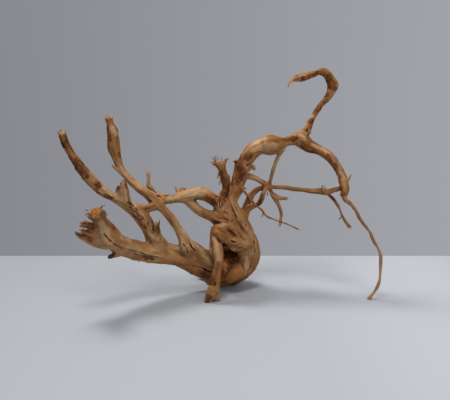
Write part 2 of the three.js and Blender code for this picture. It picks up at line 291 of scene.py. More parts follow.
# The thin roots that grow into each other under the arch.
RIGHT_TWIGS = {
    "upper_arc": [
        (22, 36, 183, 7), (31, 38, 183, 5.5), (40, 40, 181, 5), (48, 42, 177, 4.5), (56, 44, 172, 4.5),
        (63, 45, 167, 4.5),
    ],
    "mid_branch": [
        (19, 34, 111, 9), (24, 42, 122, 7.5), (28, 48, 132, 6.5), (32, 51, 142, 6), (36, 52, 150, 5.5),
        (42, 52, 157, 5), (48, 50, 162, 4.5), (56, 47, 164, 4), (63, 45, 166, 4),
    ],
    "mid_fork": [
        (26, 44, 124, 6), (33, 45, 131, 5), (41, 43, 136, 4), (48, 40, 140, 4), (52, 38, 146, 4),
        (54, 38, 153, 4), (57, 41, 160, 3.5), (61, 44, 165, 3.5),
    ],
    "upright_twig": [
        (84, 34, 230, 4.5), (81, 33, 223, 3.5), (76, 34, 213, 3), (71, 36, 199, 3), (67, 40, 182, 3),
        (64, 44, 168, 3),
    ],
    "upright_spur": [
        (81, 32, 224, 3), (84, 29, 225, 2), (88, 27, 224, 1),
    ],
    "level_twig": [
        (63, 45, 167, 4), (71, 43, 166, 3.5), (87, 39, 166, 3.5), (102, 35, 164, 3.5),
        (116, 31, 163, 3.5), (131, 28, 162, 4), (143, 25, 162, 4.5), (153, 22, 161, 5),
        (162, 18, 165, 4.5), (171, 12, 169, 4.5),
    ],
    "level_knob": [
        (148, 22, 162, 4.5), (145, 19, 169, 3.5),
    ],
    "drop_twig": [
        (153, 22, 159, 3.5), (158, 23, 154, 3), (165, 25, 147, 2.5), (173, 28, 135, 2.5),
        (180, 31, 120, 2.5), (187, 33, 110, 2.5), (193, 34, 103, 3),
    ],
    "down_twig": [
        (61, 45, 168, 4), (66, 47, 161, 3.5), (71, 49, 151, 3.5), (77, 51, 142, 3.5), (83, 53, 130, 3),
        (86, 54, 120, 3), (85, 54, 110, 2.5), (84, 53, 100, 2.5),
    ],
    "down_twig_side": [
        (72, 49, 152, 3.5), (80, 46, 148, 3.5), (87, 43, 148, 3), (93, 40, 148, 2.5),
    ],
    "thin_rootlet": [
        (17, 22, 169, 3), (21, 20, 165, 2.5), (25, 18, 161, 2), (30, 16, 155, 2), (35, 15, 149, 2),
        (39, 15, 144, 2), (45, 15, 139, 1.5), (51, 15, 134, 1.5), (55, 15, 128, 1.5),
        (61, 15, 123, 1.5), (69, 14, 120, 1), (77, 12, 117, 1), (85, 10, 115, 1), (93, 8, 112, 1),
        (100, 6, 109, 1), (107, 4, 106, 1),
    ],
}

# The long thin root that curves down to the floor on the right.
PROP = {
    "long_twig": [
        (172, 7, 159, 4), (176, 5, 152, 3.5), (185, 2, 145, 3), (192, -1, 135, 2.5),
        (199, -4, 122, 2.5), (211, -8, 106, 2.5), (216, -11, 94, 2.5), (223, -14, 82, 2.5),
        (227, -16, 71, 2.5), (228, -17, 56, 2.5), (228, -17, 40, 2.5), (227, -16, 26, 2.5),
        (222, -14, 13, 2.5), (214, -12, -1, 2.5),
    ],
}

# Marks on the wood: each is a run of points (x, y, z, radius) in millimetres that it follows.

BARK = {  # places where reddish brown bark still clings, and painted shade on the arch's underside
    "mouth_bark": [
        (-6, 34, 49, 8.1), (4, 33, 48, 10.5), (12, 28, 51, 8.0),
        (-1, 15, 41, 8.7), (-8, 9, 33, 4.7),
    ],
    "heel_bark": [
        (-10, 11, 39, 4.1), (-10, 9, 28, 4.7), (-4, 11, 17, 4.7),
        (8, 38, 5, 4.9), (17, 24, 15, 3.9),
    ],
    "tip_ring": [(-227, -57, 247, 4.3), (-221, -55, 245, 4.3)],
    "tip_side": [(-228, -54, 243, 3.2), (-225, -51, 234, 3.3)],
    "arm_side": [(-222, -47, 224, 2.7), (-217, -45, 213, 4.4), (-212, -45, 205, 5.5)],
    "arm_patch": [
        (-212, -47, 216, 4.1), (-207, -47, 209, 5.5),
        (-205, -46, 201, 5.5), (-203, -45, 193, 4.2),
    ],
    "patch_ring": [(-197, -41, 203, 2.1), (-194, -45, 197, 2.2), (-199, -45, 193, 2.2)],
    "arm_knee": [(-185, -43, 180, 3.6), (-184, -43, 171, 3.6)],
    "knee_under": [(-175, -41, 165, 3.1), (-167, -38, 162, 2.3)],
    "stub_side": [(-156, -33, 175, 4.8), (-158, -35, 171, 3.7)],
    "stub_rim": [(-145, -40, 182, 2.0), (-143, -37, 172, 1.7)],
    "dark_bark": [
        (-144, -36, 154, 2.8), (-139, -35, 147, 4.6), (-133, -34, 139, 5.7),
        (-130, -32, 130, 5.2), (-126, -29, 120, 4.4),
    ],
    "foot_bark": [(-117, -25, 125, 3.8), (-111, -16, 114, 5.0), (-105, -25, 109, 3.8)],
    "tall_edge": [(-180, 7, 259, 2.7), (-178, 3, 244, 3.0), (-178, 2, 231, 4.4)],
    "tall_streak": [(-163, 3, 219, 2.4), (-160, 3, 209, 2.7)],
    "knob": [(-164, -56, 130, 4.2), (-160, -61, 125, 2.8)],
    "split_end": [(-196, -73, 134, 3.8), (-188, -74, 128, 4.6), (-182, -72, 129, 4.1)],
    "shard": [(-206, -70, 119, 2.5), (-198, -70, 115, 2.7), (-190, -68, 111, 2.7)],
    "under_knob": [(-170, -55, 82, 2.8), (-165, -54, 83, 3.4)],
    "limb_under": [(-129, -35, 77, 2.0), (-116, -26, 70, 2.4)],
    "limb_foot": [(-44, 2, 38, 4.0), (-34, 4, 33, 5.6), (-25, -25, 35, 6.6)],
    "stub_bark": [(-12, 13, 190, 4.6), (-7, 14, 178, 6.7), (-6, 14, 165, 7.0), (-9, 12, 153, 5.2)],
    "stub_foot": [(-18, 15, 154, 3.7), (-13, 11, 144, 4.0)],
    "neck_bark": [(16, 32, 213, 6.8), (14, 22, 201, 8.6), (17, 20, 189, 7.0), (14, 19, 177, 4.6)],
    "neck_streak": [(25, 25, 215, 4.6), (31, 24, 218, 4.6)],
    "hook_foot": [(88, 30, 242, 4.3), (100, 26, 245, 5.5)],
    # Painted shade: a brown stain along the arch's underside, where shade falls.
    "arch_under_shade": [(110, 25, 233, 3.4), (121, 24, 227, 4.0), (133, 23, 222, 3.1)],
    "arch_bend": [(151, 17, 215, 3.3), (158, 14, 203, 4.2), (165, 10, 189, 4.2)],
    "arch_inside": [(165, 11, 186, 2.4), (168, 8, 169, 3.9), (170, 1, 160, 4.2)],
    "hook_low": [(121, 31, 259, 3.7), (126, 36, 269, 4.0)],
    "hook_stem": [(134, 40, 286, 4.6), (142, 42, 298, 4.6), (150, 45, 310, 5.2)],
    "hook_shoulder": [(156, 41, 322, 7.6), (151, 40, 335, 5.2)],
    "leaf_fold": [(139, 36, 340, 2.1), (123, 30, 334, 2.4), (110, 24, 331, 2.1)],
    "twig_spot": [(157, 20, 155, 3.1), (164, 23, 151, 2.5)],
    "fork_patch": [(53, 33, 151, 3.5), (50, 35, 141, 3.2)],
    "branch_streak": [(33, 47, 149, 3.2), (26, 42, 133, 3.5)],
    "bole_foot": [(-1, 21, 12, 4.8), (15, 21, 17, 4.8), (28, 22, 23, 3.8)],
    "bough_end": [(-35, 11, 155, 3.7), (-23, 14, 147, 4.6)],
    "toe": [(-30, -28, 8, 4.5), (-34, -27, 5, 3.0)],
}
PALE = {  # worn, straw-coloured places, and painted highlights on lit tops and edges such as ridge_light, lip_light and slit_light
    "oval": [(-199, -45, 200, 3.6)],
    "fleck": [(-194, -44, 188, 1.4)],
    "arm_back": [
        (-178, -42, 176, 2.5), (-168, -38, 168, 3.1),
        (-156, -37, 161, 2.6), (-145, -37, 155, 1.8),
    ],
    "fork_edge": [(-138, -32, 151, 1.7), (-128, -31, 140, 2.0), (-120, -29, 128, 1.7)],
    "stub_face": [(-148, -42, 181, 2.5), (-146, -40, 171, 2.8), (-145, -37, 160, 2.6)],
    "tall_shoulder": [(-173, 5, 259, 3.5), (-167, 6, 250, 2.4)],
    "arm_face": [(-172, -78, 133, 4.8), (-170, -70, 120, 6.0), (-164, -65, 105, 5.5)],
    "arm_top": [(-152, -54, 109, 1.7), (-140, -37, 99, 1.7)],
    "arch_back": [(36, 29, 234, 3.1), (45, 32, 239, 3.1), (57, 27, 244, 2.4)],
    "arch_face": [(34, 25, 225, 2.4), (51, 24, 230, 4.3), (69, 22, 232, 4.3)],
    "hook_scar": [(110, 25, 247, 4.0), (116, 24, 243, 2.7)],
    "arch_far": [(129, 25, 234, 2.7), (142, 22, 228, 3.4), (151, 18, 221, 2.7)],
    "callus": [(171, 5, 155, 3.3), (175, 1, 155, 3.0)],
    "level_knob": [(144, 15, 168, 4.3)],
    "neck_scar": [(17, 20, 188, 2.8)],
    "ridge_light": [(1, 9, 149, 1.1), (9, 0, 137, 1.2), (18, -2, 120, 1.2), (26, 1, 106, 1.1)],
    "leg_face": [(-21, -10, 96, 3.6), (-18, -18, 80, 3.6), (-16, -21, 67, 3.0)],
    "shoulder_light": [
        (-56, -4, 90, 2.7), (-47, -5, 81, 2.4),
        (-36, -2, 65, 2.1), (-25, 0, 51, 2.5),
    ],
    "bough_back": [(-92, 2, 153, 3.0), (-74, 7, 158, 3.6), (-56, 10, 164, 3.0)],
    "hook_band": [(128, 40, 277, 2.5)],
    "foot_ring": [(-106, -24, 97, 3.5), (-114, -25, 106, 2.6)],
    "lens": [(27, 15, 59, 3.5), (29, 14, 44, 4.1)],
    "lip_light": [(-19, -7, 113, 1.1), (-12, -11, 116, 1.0), (-2, -13, 111, 1.2)],
    "slit_light": [(-4, -15, 94, 0.9), (0, -14, 96, 1.0), (8, -11, 95, 0.9)],
}
DARK_CRACKS_AND_SHADE = {  # dark cracks, and painted shade in crevices such as the top of the mouth
    "slit_end": [(15, -8, 86, 0.6), (20, -5, 86, 0.8)],
    "plate_top": [(20, 17, 52, 0.9), (11, 8, 49, 0.7), (1, 5, 41, 0.7), (-6, 8, 29, 0.7)],
    "plate_side": [(20, 15, 50, 0.7), (24, 9, 40, 0.7), (23, 11, 29, 0.6)],
    "facet_edge": [(34, 17, 65, 0.6), (36, 16, 50, 0.7), (32, 15, 36, 0.6)],
    "facet_top": [(25, 14, 62, 0.5), (24, 15, 50, 0.6)],
    "arm_crack": [
        (-173, -68, 121, 0.5), (-167, -68, 111, 0.8), (-162, -64, 104, 0.8),
        (-155, -58, 96, 0.7), (-146, -49, 85, 0.6),
    ],
    "belly_crack": [
        (-154, -57, 98, 0.4), (-148, -52, 92, 0.7), (-140, -44, 87, 0.8),
        (-123, -30, 77, 0.8), (-104, -21, 69, 0.6),
    ],
    "under_crack": [
        (-146, -49, 85, 0.4), (-137, -39, 80, 0.7),
        (-122, -30, 73, 0.8), (-108, -22, 67, 0.6),
    ],
    "toe_crack": [(-56, -2, 49, 0.5), (-44, 0, 47, 0.8), (-34, 6, 41, 1.0), (-26, 3, 38, 0.9)],
    "shoulder_crack": [(-60, -9, 91, 0.7), (-57, -11, 83, 0.8), (-51, -7, 75, 0.6)],
    "crotch_crack": [(-69, -11, 87, 0.6), (-64, -12, 81, 0.6), (-62, -10, 73, 0.5)],
    "face_spot": [(5, 1, 121, 1.2), (3, -1, 118, 0.8)],
    "lip_slit": [(2, -13, 94, 0.7), (6, -10, 91, 1.4), (11, -10, 90, 0.8)],
    "stub_groove": [(0, 18, 174, 0.8), (-1, 18, 165, 1.1), (-4, 14, 153, 1.2)],
    "rim_crack": [(39, 12, 85, 1.1), (40, 12, 76, 0.9), (41, 14, 67, 1.3)],
    "leg_knot": [(-15, -23, 61, 1.5)],
    "leg_gap": [(-25, -15, 79, 0.7), (-25, -16, 71, 1.3)],
    "fork_edge_crack": [(-143, -33, 155, 0.8), (-138, -32, 149, 0.8), (-132, -33, 141, 0.7)],
    "foot_spot": [(-122, -27, 116, 1.5)],
    # Painted shade: a dark patch over the top of the mouth, where the cavity is in shade.
    "mouth_top_shade": [(-6, 45, 56, 3.0), (3, 54, 55, 4.1), (12, 43, 57, 3.1)],
    "tip_edge": [(-228, -54, 243, 0.8), (-225, -51, 234, 1.4)],
}
FOLDS = {  # shallow folds and wrinkles, carved as dents and darkened with painted shade; bulge_shade, lip_shade, lobe_shade and ridge_shade are painted shade under the bulge, lip and lobe and beside the ridge
    "brow_fold_a": [(-10, 11, 137, 0.8), (-6, 6, 133, 1.1), (0, 3, 129, 0.8)],
    "brow_fold_b": [(-16, 11, 135, 0.6), (-12, 11, 136, 0.8), (-7, 9, 137, 0.6)],
    "brow_fold_c": [(3, 6, 143, 0.6), (7, 2, 135, 0.9), (10, 1, 126, 0.8)],
    "cheek_fold_a": [(-11, 10, 127, 0.8), (-6, 4, 122, 1.1), (-1, -1, 119, 0.9)],
    "cheek_fold_b": [
        (-22, 11, 120, 0.8), (-13, 7, 122, 0.9),
        (-6, 0, 119, 1.1), (-2, -13, 117, 0.7),
    ],
    "cheek_fold_c": [(-20, 14, 129, 0.8), (-14, 12, 128, 0.8)],
    "ridge_shade": [(5, 10, 148, 0.5), (13, 1, 137, 0.6), (21, 1, 121, 0.8), (28, 3, 106, 0.8)],
    "bulge_shade": [(-21, -7, 105, 1.4), (-15, -10, 98, 1.7), (-8, -14, 93, 1.2)],
    "lip_shade": [(-22, 11, 115, 0.9), (-13, 1, 116, 0.8), (-4, -13, 115, 0.9), (3, -14, 109, 0.9)],
    "lobe_shade": [(-14, -11, 92, 1.4), (-7, 30, 73, 1.4), (0, 56, 59, 1.3)],
    "chin": [(11, 0, 74, 1.1), (18, -1, 79, 0.9), (23, -2, 84, 0.8)],
    "jaw": [(14, -2, 103, 0.6), (20, -1, 94, 0.9), (27, 2, 88, 0.6)],
    "facet_a": [(30, 18, 59, 0.8), (34, 19, 49, 1.0), (32, 15, 37, 0.8)],
    "facet_b": [(37, 15, 57, 0.8), (40, 19, 46, 0.8), (37, 18, 36, 0.6)],
}
ORANGE = {  # bare orange wood that broke open last
    "mouth_floor": [(-4, 32, 45, 5.5), (3, 31, 45, 7.1), (10, 29, 50, 5.5), (-2, 15, 40, 6.3)],
    "plate": [(15, 6, 45, 7.2), (10, 1, 40, 8.7), (4, 2, 35, 7.8), (-2, 5, 28, 3.7)],
}
SHAGGY = {  # places where splinters stand up
    "foot_shag": [(-117, -25, 124, 4.4), (-110, -21, 114, 5.9), (-107, -25, 106, 4.4)],
    "brow_shag": [(-18, 13, 151, 3.7), (-12, 11, 147, 4.6), (-4, 11, 146, 3.1)],
    "stub_shag": [(-19, 12, 202, 4.5), (-13, 19, 187, 3.1), (-10, 20, 171, 3.1)],
    "neck_shag": [(22, 17, 193, 3.0), (31, 13, 199, 3.0)],
    "dark_shag": [(-141, -35, 151, 2.9), (-133, -34, 139, 4.3), (-127, -32, 127, 4.3)],
    "cut_rim": [(-187, -79, 146, 3.2), (-177, -87, 143, 3.2), (-168, -79, 147, 3.2)],
    "split_shag": [(-198, -74, 132, 3.4), (-195, -68, 123, 3.4)],
    "callus_shag": [(172, 6, 154, 3.0), (175, 1, 153, 3.0)],
}

# Hair roots and single splinters that stand out: runs of points (x, y, z, radius), as above.
HAIRS = {
    "rootlet_spur": [(55, 39, 124, 1.2), (54, 38, 120, 0.9), (52, 37, 118, 0.5)],
    "rootlet_knot": [(19, 21, 169, 1.8), (23, 20, 168, 1.3), (27, 19, 167, 0.7)],
    "belly_hair_a": [(-138, -37, 75, 0.6), (-139, -38, 73, 0.5), (-141, -39, 71, 0.3)],
    "belly_hair_b": [(-135, -36, 74, 0.7), (-133, -37, 70, 0.6), (-130, -38, 67, 0.3)],
    "belly_hair_c": [(-61, 8, 35, 0.6), (-59, 7, 33, 0.5), (-56, 6, 34, 0.3)],
    "stub_hair_a": [(-20, 12, 210, 0.8), (-24, 11, 214, 0.6), (-26, 10, 216, 0.3)],
    "stub_hair_b": [(-19, 12, 211, 0.8), (-21, 11, 216, 0.6), (-21, 10, 219, 0.3)],
    "stub_hair_c": [(-16, 14, 211, 0.7), (-17, 13, 215, 0.5), (-18, 12, 218, 0.3)],
    "stub_hair_d": [(-12, 17, 210, 0.7), (-11, 16, 214, 0.5), (-10, 15, 217, 0.3)],
    "stub_hair_e": [(-23, 11, 207, 0.8), (-26, 10, 208, 0.6), (-29, 9, 210, 0.3)],
    "stub_hair_f": [(-4, 18, 211, 0.8), (-1, 17, 213, 0.5), (1, 16, 213, 0.3)],
    "stub_side_a": [(-15, 17, 191, 1.2), (-17, 16, 187, 0.8), (-18, 15, 183, 0.4)],
    "stub_side_b": [(-13, 20, 179, 1.1), (-15, 19, 175, 0.7), (-14, 18, 172, 0.4)],
    "cut_hair_a": [(-188, -76, 152, 0.8), (-191, -77, 152, 0.6), (-193, -78, 153, 0.3)],
    "cut_hair_b": [(-187, -78, 148, 0.8), (-191, -79, 147, 0.6), (-192, -80, 146, 0.3)],
    "cut_hair_c": [(-170, -81, 157, 0.9), (-168, -82, 159, 0.7), (-164, -83, 160, 0.4)],
    "cut_hair_d": [(-166, -79, 152, 0.9), (-164, -80, 149, 0.7), (-162, -81, 146, 0.4)],
    "lip_hair": [(-23, -1, 110, 0.8), (-26, -2, 111, 0.6), (-28, -3, 113, 0.3)],
    "foot_splinter_a": [(-105, -24, 109, 1.6), (-103, -25, 118, 1.2), (-101, -26, 128, 0.4)],
    "foot_splinter_b": [(-107, -25, 112, 1.6), (-106, -26, 120, 1.1), (-107, -27, 126, 0.4)],
    "foot_splinter_c": [(-110, -22, 113, 1.4), (-110, -23, 120, 0.9), (-111, -24, 124, 0.4)],
    "split_hair_a": [(-199, -74, 133, 0.8), (-201, -75, 130, 0.6), (-202, -76, 130, 0.3)],
    "split_hair_b": [(-199, -69, 125, 0.8), (-201, -70, 122, 0.6), (-203, -71, 123, 0.3)],
    "twig_spur": [(62, 46, 157, 1.1), (62, 45, 153, 0.8), (61, 44, 151, 0.4)],
    "drop_knot": [(177, 31, 119, 1.3), (175, 30, 117, 0.9), (174, 29, 116, 0.5)],
}

LIMB_GROUPS = (
    BOLE, LEG, LEFT_ARM, LEFT_BRANCH, TALL_BRANCH, BROKEN_STUB, ARCH, HOOK, RIGHT_TWIGS, PROP,
)

# Broken ends: by how many millimetres the fibres end unevenly at a limb's last station. Other
# limbs end round.
BROKEN_ENDS = {
    "cut_end": 1.2, "ragged_end": 5.0, "gap_fibres": 4.0, "left_branch": 1.2,
    "left_branch_stub": 2.0, "tall_branch": 3.5, "tall_branch_spur": 1.5, "hook_twig": 1.2,
    "arch": 3.0, "back_root": 4.0, "down_twig": 0.8, "drop_twig": 1.0, "down_twig_side": 0.6,
    "broken_stub_left": 2.0, "broken_stub_right": 2.5, "hook_bump": 1.0,
}

# How deeply the grain is fluted and how much it cracks. Limbs that aren't named are ordinary.
ORDINARY_FLUTING = 1.0
FLUTING = {
    "bole": 0.6, "back_wall": 0.8, "main_limb": 0.7, "left_branch": 1.1, "front_bulge": 0.4,
    "bulge_lip": 0.5, "cheek": 0.6, "ridge_body": 0.6, "arch": 0.9, "hook": 1.1,
    "broken_stub": 1.6, "base_plate": 0.2, "plate_body": 0.2, "gap_fibres": 2.0, "hook_leaf": 1.7,
    "long_twig": 0.5, "level_twig": 0.6, "down_twig": 0.7, "front_leg": 0.8, "shoulder": 0.8,
}
ORDINARY_CRACKING = 0.7
CRACKING = {
    "main_limb": 0.3, "bole": 0.3, "base_plate": 0.0, "front_bulge": 0.0, "cheek": 0.0,
    "bulge_lip": 0.0, "ridge_body": 0.0, "cut_end": 0.2, "left_branch": 1.0, "bough": 0.8,
    "broken_stub": 1.3, "hook_leaf": 1.2,
}

TUBE_LIMBS = ("thin_rootlet",)  # too thin to carve, so drawn as tubes

STEP = 1.0  # between the points of the carving block's grid
CLEARANCE = 8.0  # room left round the root, and round each limb, in the carving block
BAND = 5.0  # depth of wood that relief is worked into
PATH_STEP = 2.5  # along a limb's centre line
FAR = 60.0  # stands for any distance that is too long to matter
ALMOST_NOTHING = 1e-9

# How fast the wood's relief changes along a limb, and how fine it can be, in millimetres.
LOBE_LENGTH = 48.0
RIB_LENGTH = 40.0
FIBRE_LENGTH = 24.0
SPIRAL_LENGTH = 95.0  # over which the grain turns by one radian
FINEST_RIB = 3.2
FINEST_FIBRE = 2.6
FLATS = 6  # worn flats round a limb
FLAT_SPIRAL = 160.0
LUMP_SIZE = 13.0
LUMP_HEIGHT = 0.45
PIT_SIZE = 5.0
PIT_DEPTH = 0.25


class Grain:
    """Smooth noise from about -1 to 1 that repeats every 32 cells."""

    SIDE = 32

    def __init__(self, seed):
        random = np.random.default_rng(seed)
        self.table = 1.6 * random.uniform(-1, 1, (self.SIDE,) * 3).astype(np.float32)

    def __call__(self, x, y, z):
        low, share = [], []
        for coordinate in np.broadcast_arrays(x, y, z):
            whole = np.floor(coordinate)
            part = (coordinate - whole).astype(np.float32)
            low.append(whole.astype(np.int64))
            share.append(part * part * (3 - 2 * part))
        total = np.zeros(low[0].shape, np.float32)
        for corner in itertools.product((0, 1), repeat=3):
            weight = np.ones_like(total)
            for part, side in zip(share, corner):
                weight *= part if side else 1 - part
            cell = tuple((whole + side) % self.SIDE for whole, side in zip(low, corner))
            total += weight * self.table[cell]
        return total


LOBES, RIBS, FIBRES, KNOTS, LUMPS, JAGS, PITS = (Grain(SEED + i) for i in range(7))


def unit(rows):
    return rows / np.maximum(np.linalg.norm(rows, axis=-1, keepdims=True), ALMOST_NOTHING)


class Limb:
    """A limb's centre line with its radius, its length and a frame that doesn't twist."""

    def __init__(self, name, stations, index):
        self.index = index
        path = self.smooth(np.array(stations, float))
        self.centre = path[:, :3]
        self.radius = path[:, 3].copy()
        steps = np.linalg.norm(np.diff(self.centre, axis=0), axis=1)
        self.along = np.concatenate(([0.0], np.cumsum(steps)))
        self.tangent = unit(np.gradient(self.centre, axis=0))
        self.across, self.aside = self.frames()
        self.mean_radius = float(self.radius.mean())
        self.fluting = FLUTING.get(name, ORDINARY_FLUTING)
        self.cracking = CRACKING.get(name, ORDINARY_CRACKING)
        self.jag = BROKEN_ENDS.get(name, 0.0)

    @staticmethod
    def smooth(stations):
        """The stations joined by a smooth curve, with a point every few millimetres."""
        ends = np.vstack((stations[:1], stations, stations[-1:]))
        rows = []
        for a, b, c, d in zip(ends, ends[1:], ends[2:], ends[3:]):
            count = max(1, round(np.linalg.norm(c[:3] - b[:3]) / PATH_STEP))
            for t in np.arange(count) / count:
                bend = 2 * a - 5 * b + 4 * c - d
                rows.append(b + 0.5 * t * (c - a + t * (bend + t * (3 * b - a - 3 * c + d))))
        rows.append(stations[-1])
        return np.array(rows)

    def frames(self):
        """Two directions square to the limb at each point, carried along it without a twist."""
        start = np.cross(self.tangent[0], (0.0, 1.0, 0.0))
        across = [unit(start)]
        for tangent in self.tangent[1:]:
            kept = across[-1] - tangent * np.dot(across[-1], tangent)
            across.append(unit(kept))
        across = np.array(across)
        return across, np.cross(self.tangent, across)

    def local(self, points, along):
        """Where points lie in the limb's section: across, aside and the radius there."""
        def at(rows):
            return np.stack([np.interp(along, self.along, column) for column in rows.T], -1)

        offset = points - at(self.centre)
        a = np.einsum("ij,ij->i", offset, at(self.across))
        b = np.einsum("ij,ij->i", offset, at(self.aside))
        return a, b, np.interp(along, self.along, self.radius)

    def turned(self, a, b, along):
        """The grain's own turn: it spirals slowly round the limb."""
        angle = np.arctan2(b, a) + along / SPIRAL_LENGTH
        angle = angle + 0.4 * KNOTS(along / 26.0, self.index, 0.5)
        return np.cos(angle) + 9.7 * self.index, np.sin(angle) + 3.1 * self.index

    def ribs(self, a, b, along):
        """Ribs that run with the grain, from about -1 to 1."""
        x, y = self.turned(a, b, along)
        spread = min(2.0 + 0.045 * self.mean_radius, self.mean_radius / FINEST_RIB)
        return RIBS(spread * x, spread * y, along / RIB_LENGTH)

    def crack(self, a, b, along):
        """1 in the middle of a drying crack, 0 away from it."""
        x, y = self.turned(a, b, along)
        open_here = np.clip(1.8 * LOBES(1.4 * x + 7, 1.4 * y, along / 34.0) - 0.15, 0, 1)
        width = np.clip(1.5 / max(self.mean_radius, 3.0), 0.08, 0.25)
        line = np.exp(-((self.ribs(a, b, along) / width) ** 2))
        return self.cracking * open_here * line

    def flats(self, a, b, along, radius):
        """How far worn flats cut into the round bar, each at its own depth along the limb."""
        past = np.full(a.shape, -FAR)
        for side in range(FLATS):
            own = self.index + 0.37 * side
            stretch = 5.0 * self.mean_radius + 12.0
            lean = 0.45 * KNOTS(along / stretch, own, 3.5)
            angle = 2 * math.pi * side / FLATS + lean + along / FLAT_SPIRAL
            reach = radius * (0.93 + 0.10 * KNOTS(along / stretch, own, 0.5))
            past = np.maximum(past, a * np.cos(angle) + b * np.sin(angle) - reach)
        return np.maximum(past - (np.hypot(a, b) - radius), 0)

    def relief(self, a, b, along, radius):
        """How far the wood stands out from a round bar."""
        x, y = self.turned(a, b, along)
        lobes = LOBES(1.1 * x, 1.1 * y, along / LOBE_LENGTH)
        spread = min(5.5, self.mean_radius / FINEST_FIBRE)
        fibres = FIBRES(spread * x, spread * y, along / FIBRE_LENGTH)
        knots = KNOTS(along / (3.2 * self.mean_radius + 6.0), self.index + 0.3, 0.0)
        raised = radius * (0.08 * lobes + 0.05 * knots)
        raised += self.fluting * radius * (0.05 * lobes + 0.035 * self.ribs(a, b, along))
        raised += self.fluting * np.minimum(0.04 * radius, 0.35) * fibres
        raised -= self.flats(a, b, along, radius)
        return raised - np.minimum(0.16 * radius, 1.5) * self.crack(a, b, along)


def all_limbs():
    """Every limb that is carved, numbered in the order of the groups."""
    named = [item for group in LIMB_GROUPS for item in group.items()]
    carved = [item for item in named if item[0] not in TUBE_LIMBS]
    return [Limb(name, stations, index) for index, (name, stations) in enumerate(carved)]


class Block:
    """The carving block: the distance to the wood's surface on a regular grid, in millimetres."""

    def __init__(self, box):
        low, high = (np.array(corner) / MM for corner in box)
        self.origin = low - CLEARANCE
        self.shape = tuple(np.ceil((high - low + 2 * CLEARANCE) / STEP).astype(int))
        self.distance = np.full(self.shape, FAR, np.float32)
        self.owner = np.zeros(self.shape, np.int16)

    def cells(self, low, high):
        """The slices of the grid that hold a box."""
        first = np.maximum(np.floor((low - self.origin) / STEP).astype(int), 0)
        last = np.minimum(np.ceil((high - self.origin) / STEP).astype(int) + 1, self.shape)
        return tuple(slice(a, max(a, b)) for a, b in zip(first, last))

    def axes(self, cells):
        """The x, y and z of some cells, each laid out to spread over the other two."""
        lines = [self.origin[i] + STEP * np.arange(c.start, c.stop) for i, c in enumerate(cells)]
        return np.ix_(*lines)

    def points(self, cells, where):
        """The places of the chosen ones among some cells."""
        lows = np.array([c.start for c in cells])
        return self.origin + STEP * (np.argwhere(where) + lows)

    def sample(self, points):
        """The distance at any points, between the grid's own."""
        place = (points - self.origin) / STEP
        base = np.clip(np.floor(place).astype(int), 0, np.array(self.shape) - 2)
        share = np.clip(place - base, 0, 1)
        total = np.zeros(len(points))
        for corner in itertools.product((0, 1), repeat=3):
            weight = np.prod(np.where(corner, share, 1 - share), axis=1)
            total += weight * self.distance[tuple((base + corner).T)]
        return total

    def owner_at(self, points):
        """The number of the limb that each point belongs to."""
        nearest = np.round((points - self.origin) / STEP).astype(int)
        nearest = np.clip(nearest, 0, np.array(self.shape) - 1)
        return self.owner[tuple(nearest.T)]


def to_bar(x, y, z, step, square_length, radius, taper):
    """How far along a tapered bar points lie, 0 to 1, and how far outside it they are.

    The points are measured from the bar's start, and step runs from its start to its end.
    """
    t = np.clip((x * step[0] + y * step[1] + z * step[2]) / square_length, 0, 1)
    square = (x - t * step[0]) ** 2 + (y - t * step[1]) ** 2 + (z - t * step[2]) ** 2
    return t, np.sqrt(square) - (radius + t * taper)


def swept(block, limb):
    """The distance to a round bar along the limb, in the part of the block that it crosses."""
    centre = limb.centre.copy()
    if limb.jag:
        centre[-1] += limb.tangent[-1] * (limb.radius[-1] + limb.jag)
    reach = limb.radius.max() + CLEARANCE + STEP
    cells = block.cells(centre.min(0) - reach, centre.max(0) + reach)
    shape = [c.stop - c.start for c in cells]
    distance = np.full(shape, FAR, np.float32)
    along = np.zeros(shape, np.float32)
    for i in range(len(centre) - 1):
        start, step = centre[i], centre[i + 1] - centre[i]
        length = np.linalg.norm(step)
        near = max(limb.radius[i], limb.radius[i + 1]) + CLEARANCE
        ends = np.array((start, start + step))
        part = block.cells(ends.min(0) - near, ends.max(0) + near)
        inner = tuple(slice(p.start - c.start, p.stop - c.start) for p, c in zip(part, cells))
        x, y, z = (line - s for line, s in zip(block.axes(part), start))
        taper = limb.radius[i + 1] - limb.radius[i]
        t, bar = to_bar(x, y, z, step, length ** 2, limb.radius[i], taper)
        closer = bar < distance[inner]
        distance[inner] = np.where(closer, bar, distance[inner])
        along[inner] = np.where(closer, limb.along[i] + t * length, along[inner])
    return cells, distance, along


def snapped_off(limb, points, distance):
    """Cuts the limb's end across its grain, each bundle of fibres at its own length."""
    offset = points - limb.centre[-1]
    past = offset @ limb.tangent[-1]
    a, b = offset @ limb.across[-1], offset @ limb.aside[-1]
    bundle = JAGS(a / 2.6 + limb.index, b / 2.6, 0.5) + 0.5 * JAGS(a / 5.5, b / 5.5, 7.5)
    rim = np.clip(np.hypot(a, b) / limb.radius[-1] - 0.6, 0, 1)
    end = past - limb.jag * (0.6 * bundle + 0.9 * rim - 0.3)
    return np.maximum(distance, end)


def smooth_union(first, second, blend):
    """Two distances joined as one, with a rounded corner of the blend's width."""
    overlap = np.maximum(blend - np.abs(first - second), 0) / blend
    return np.minimum(first, second) - overlap ** 2 * blend * 0.25


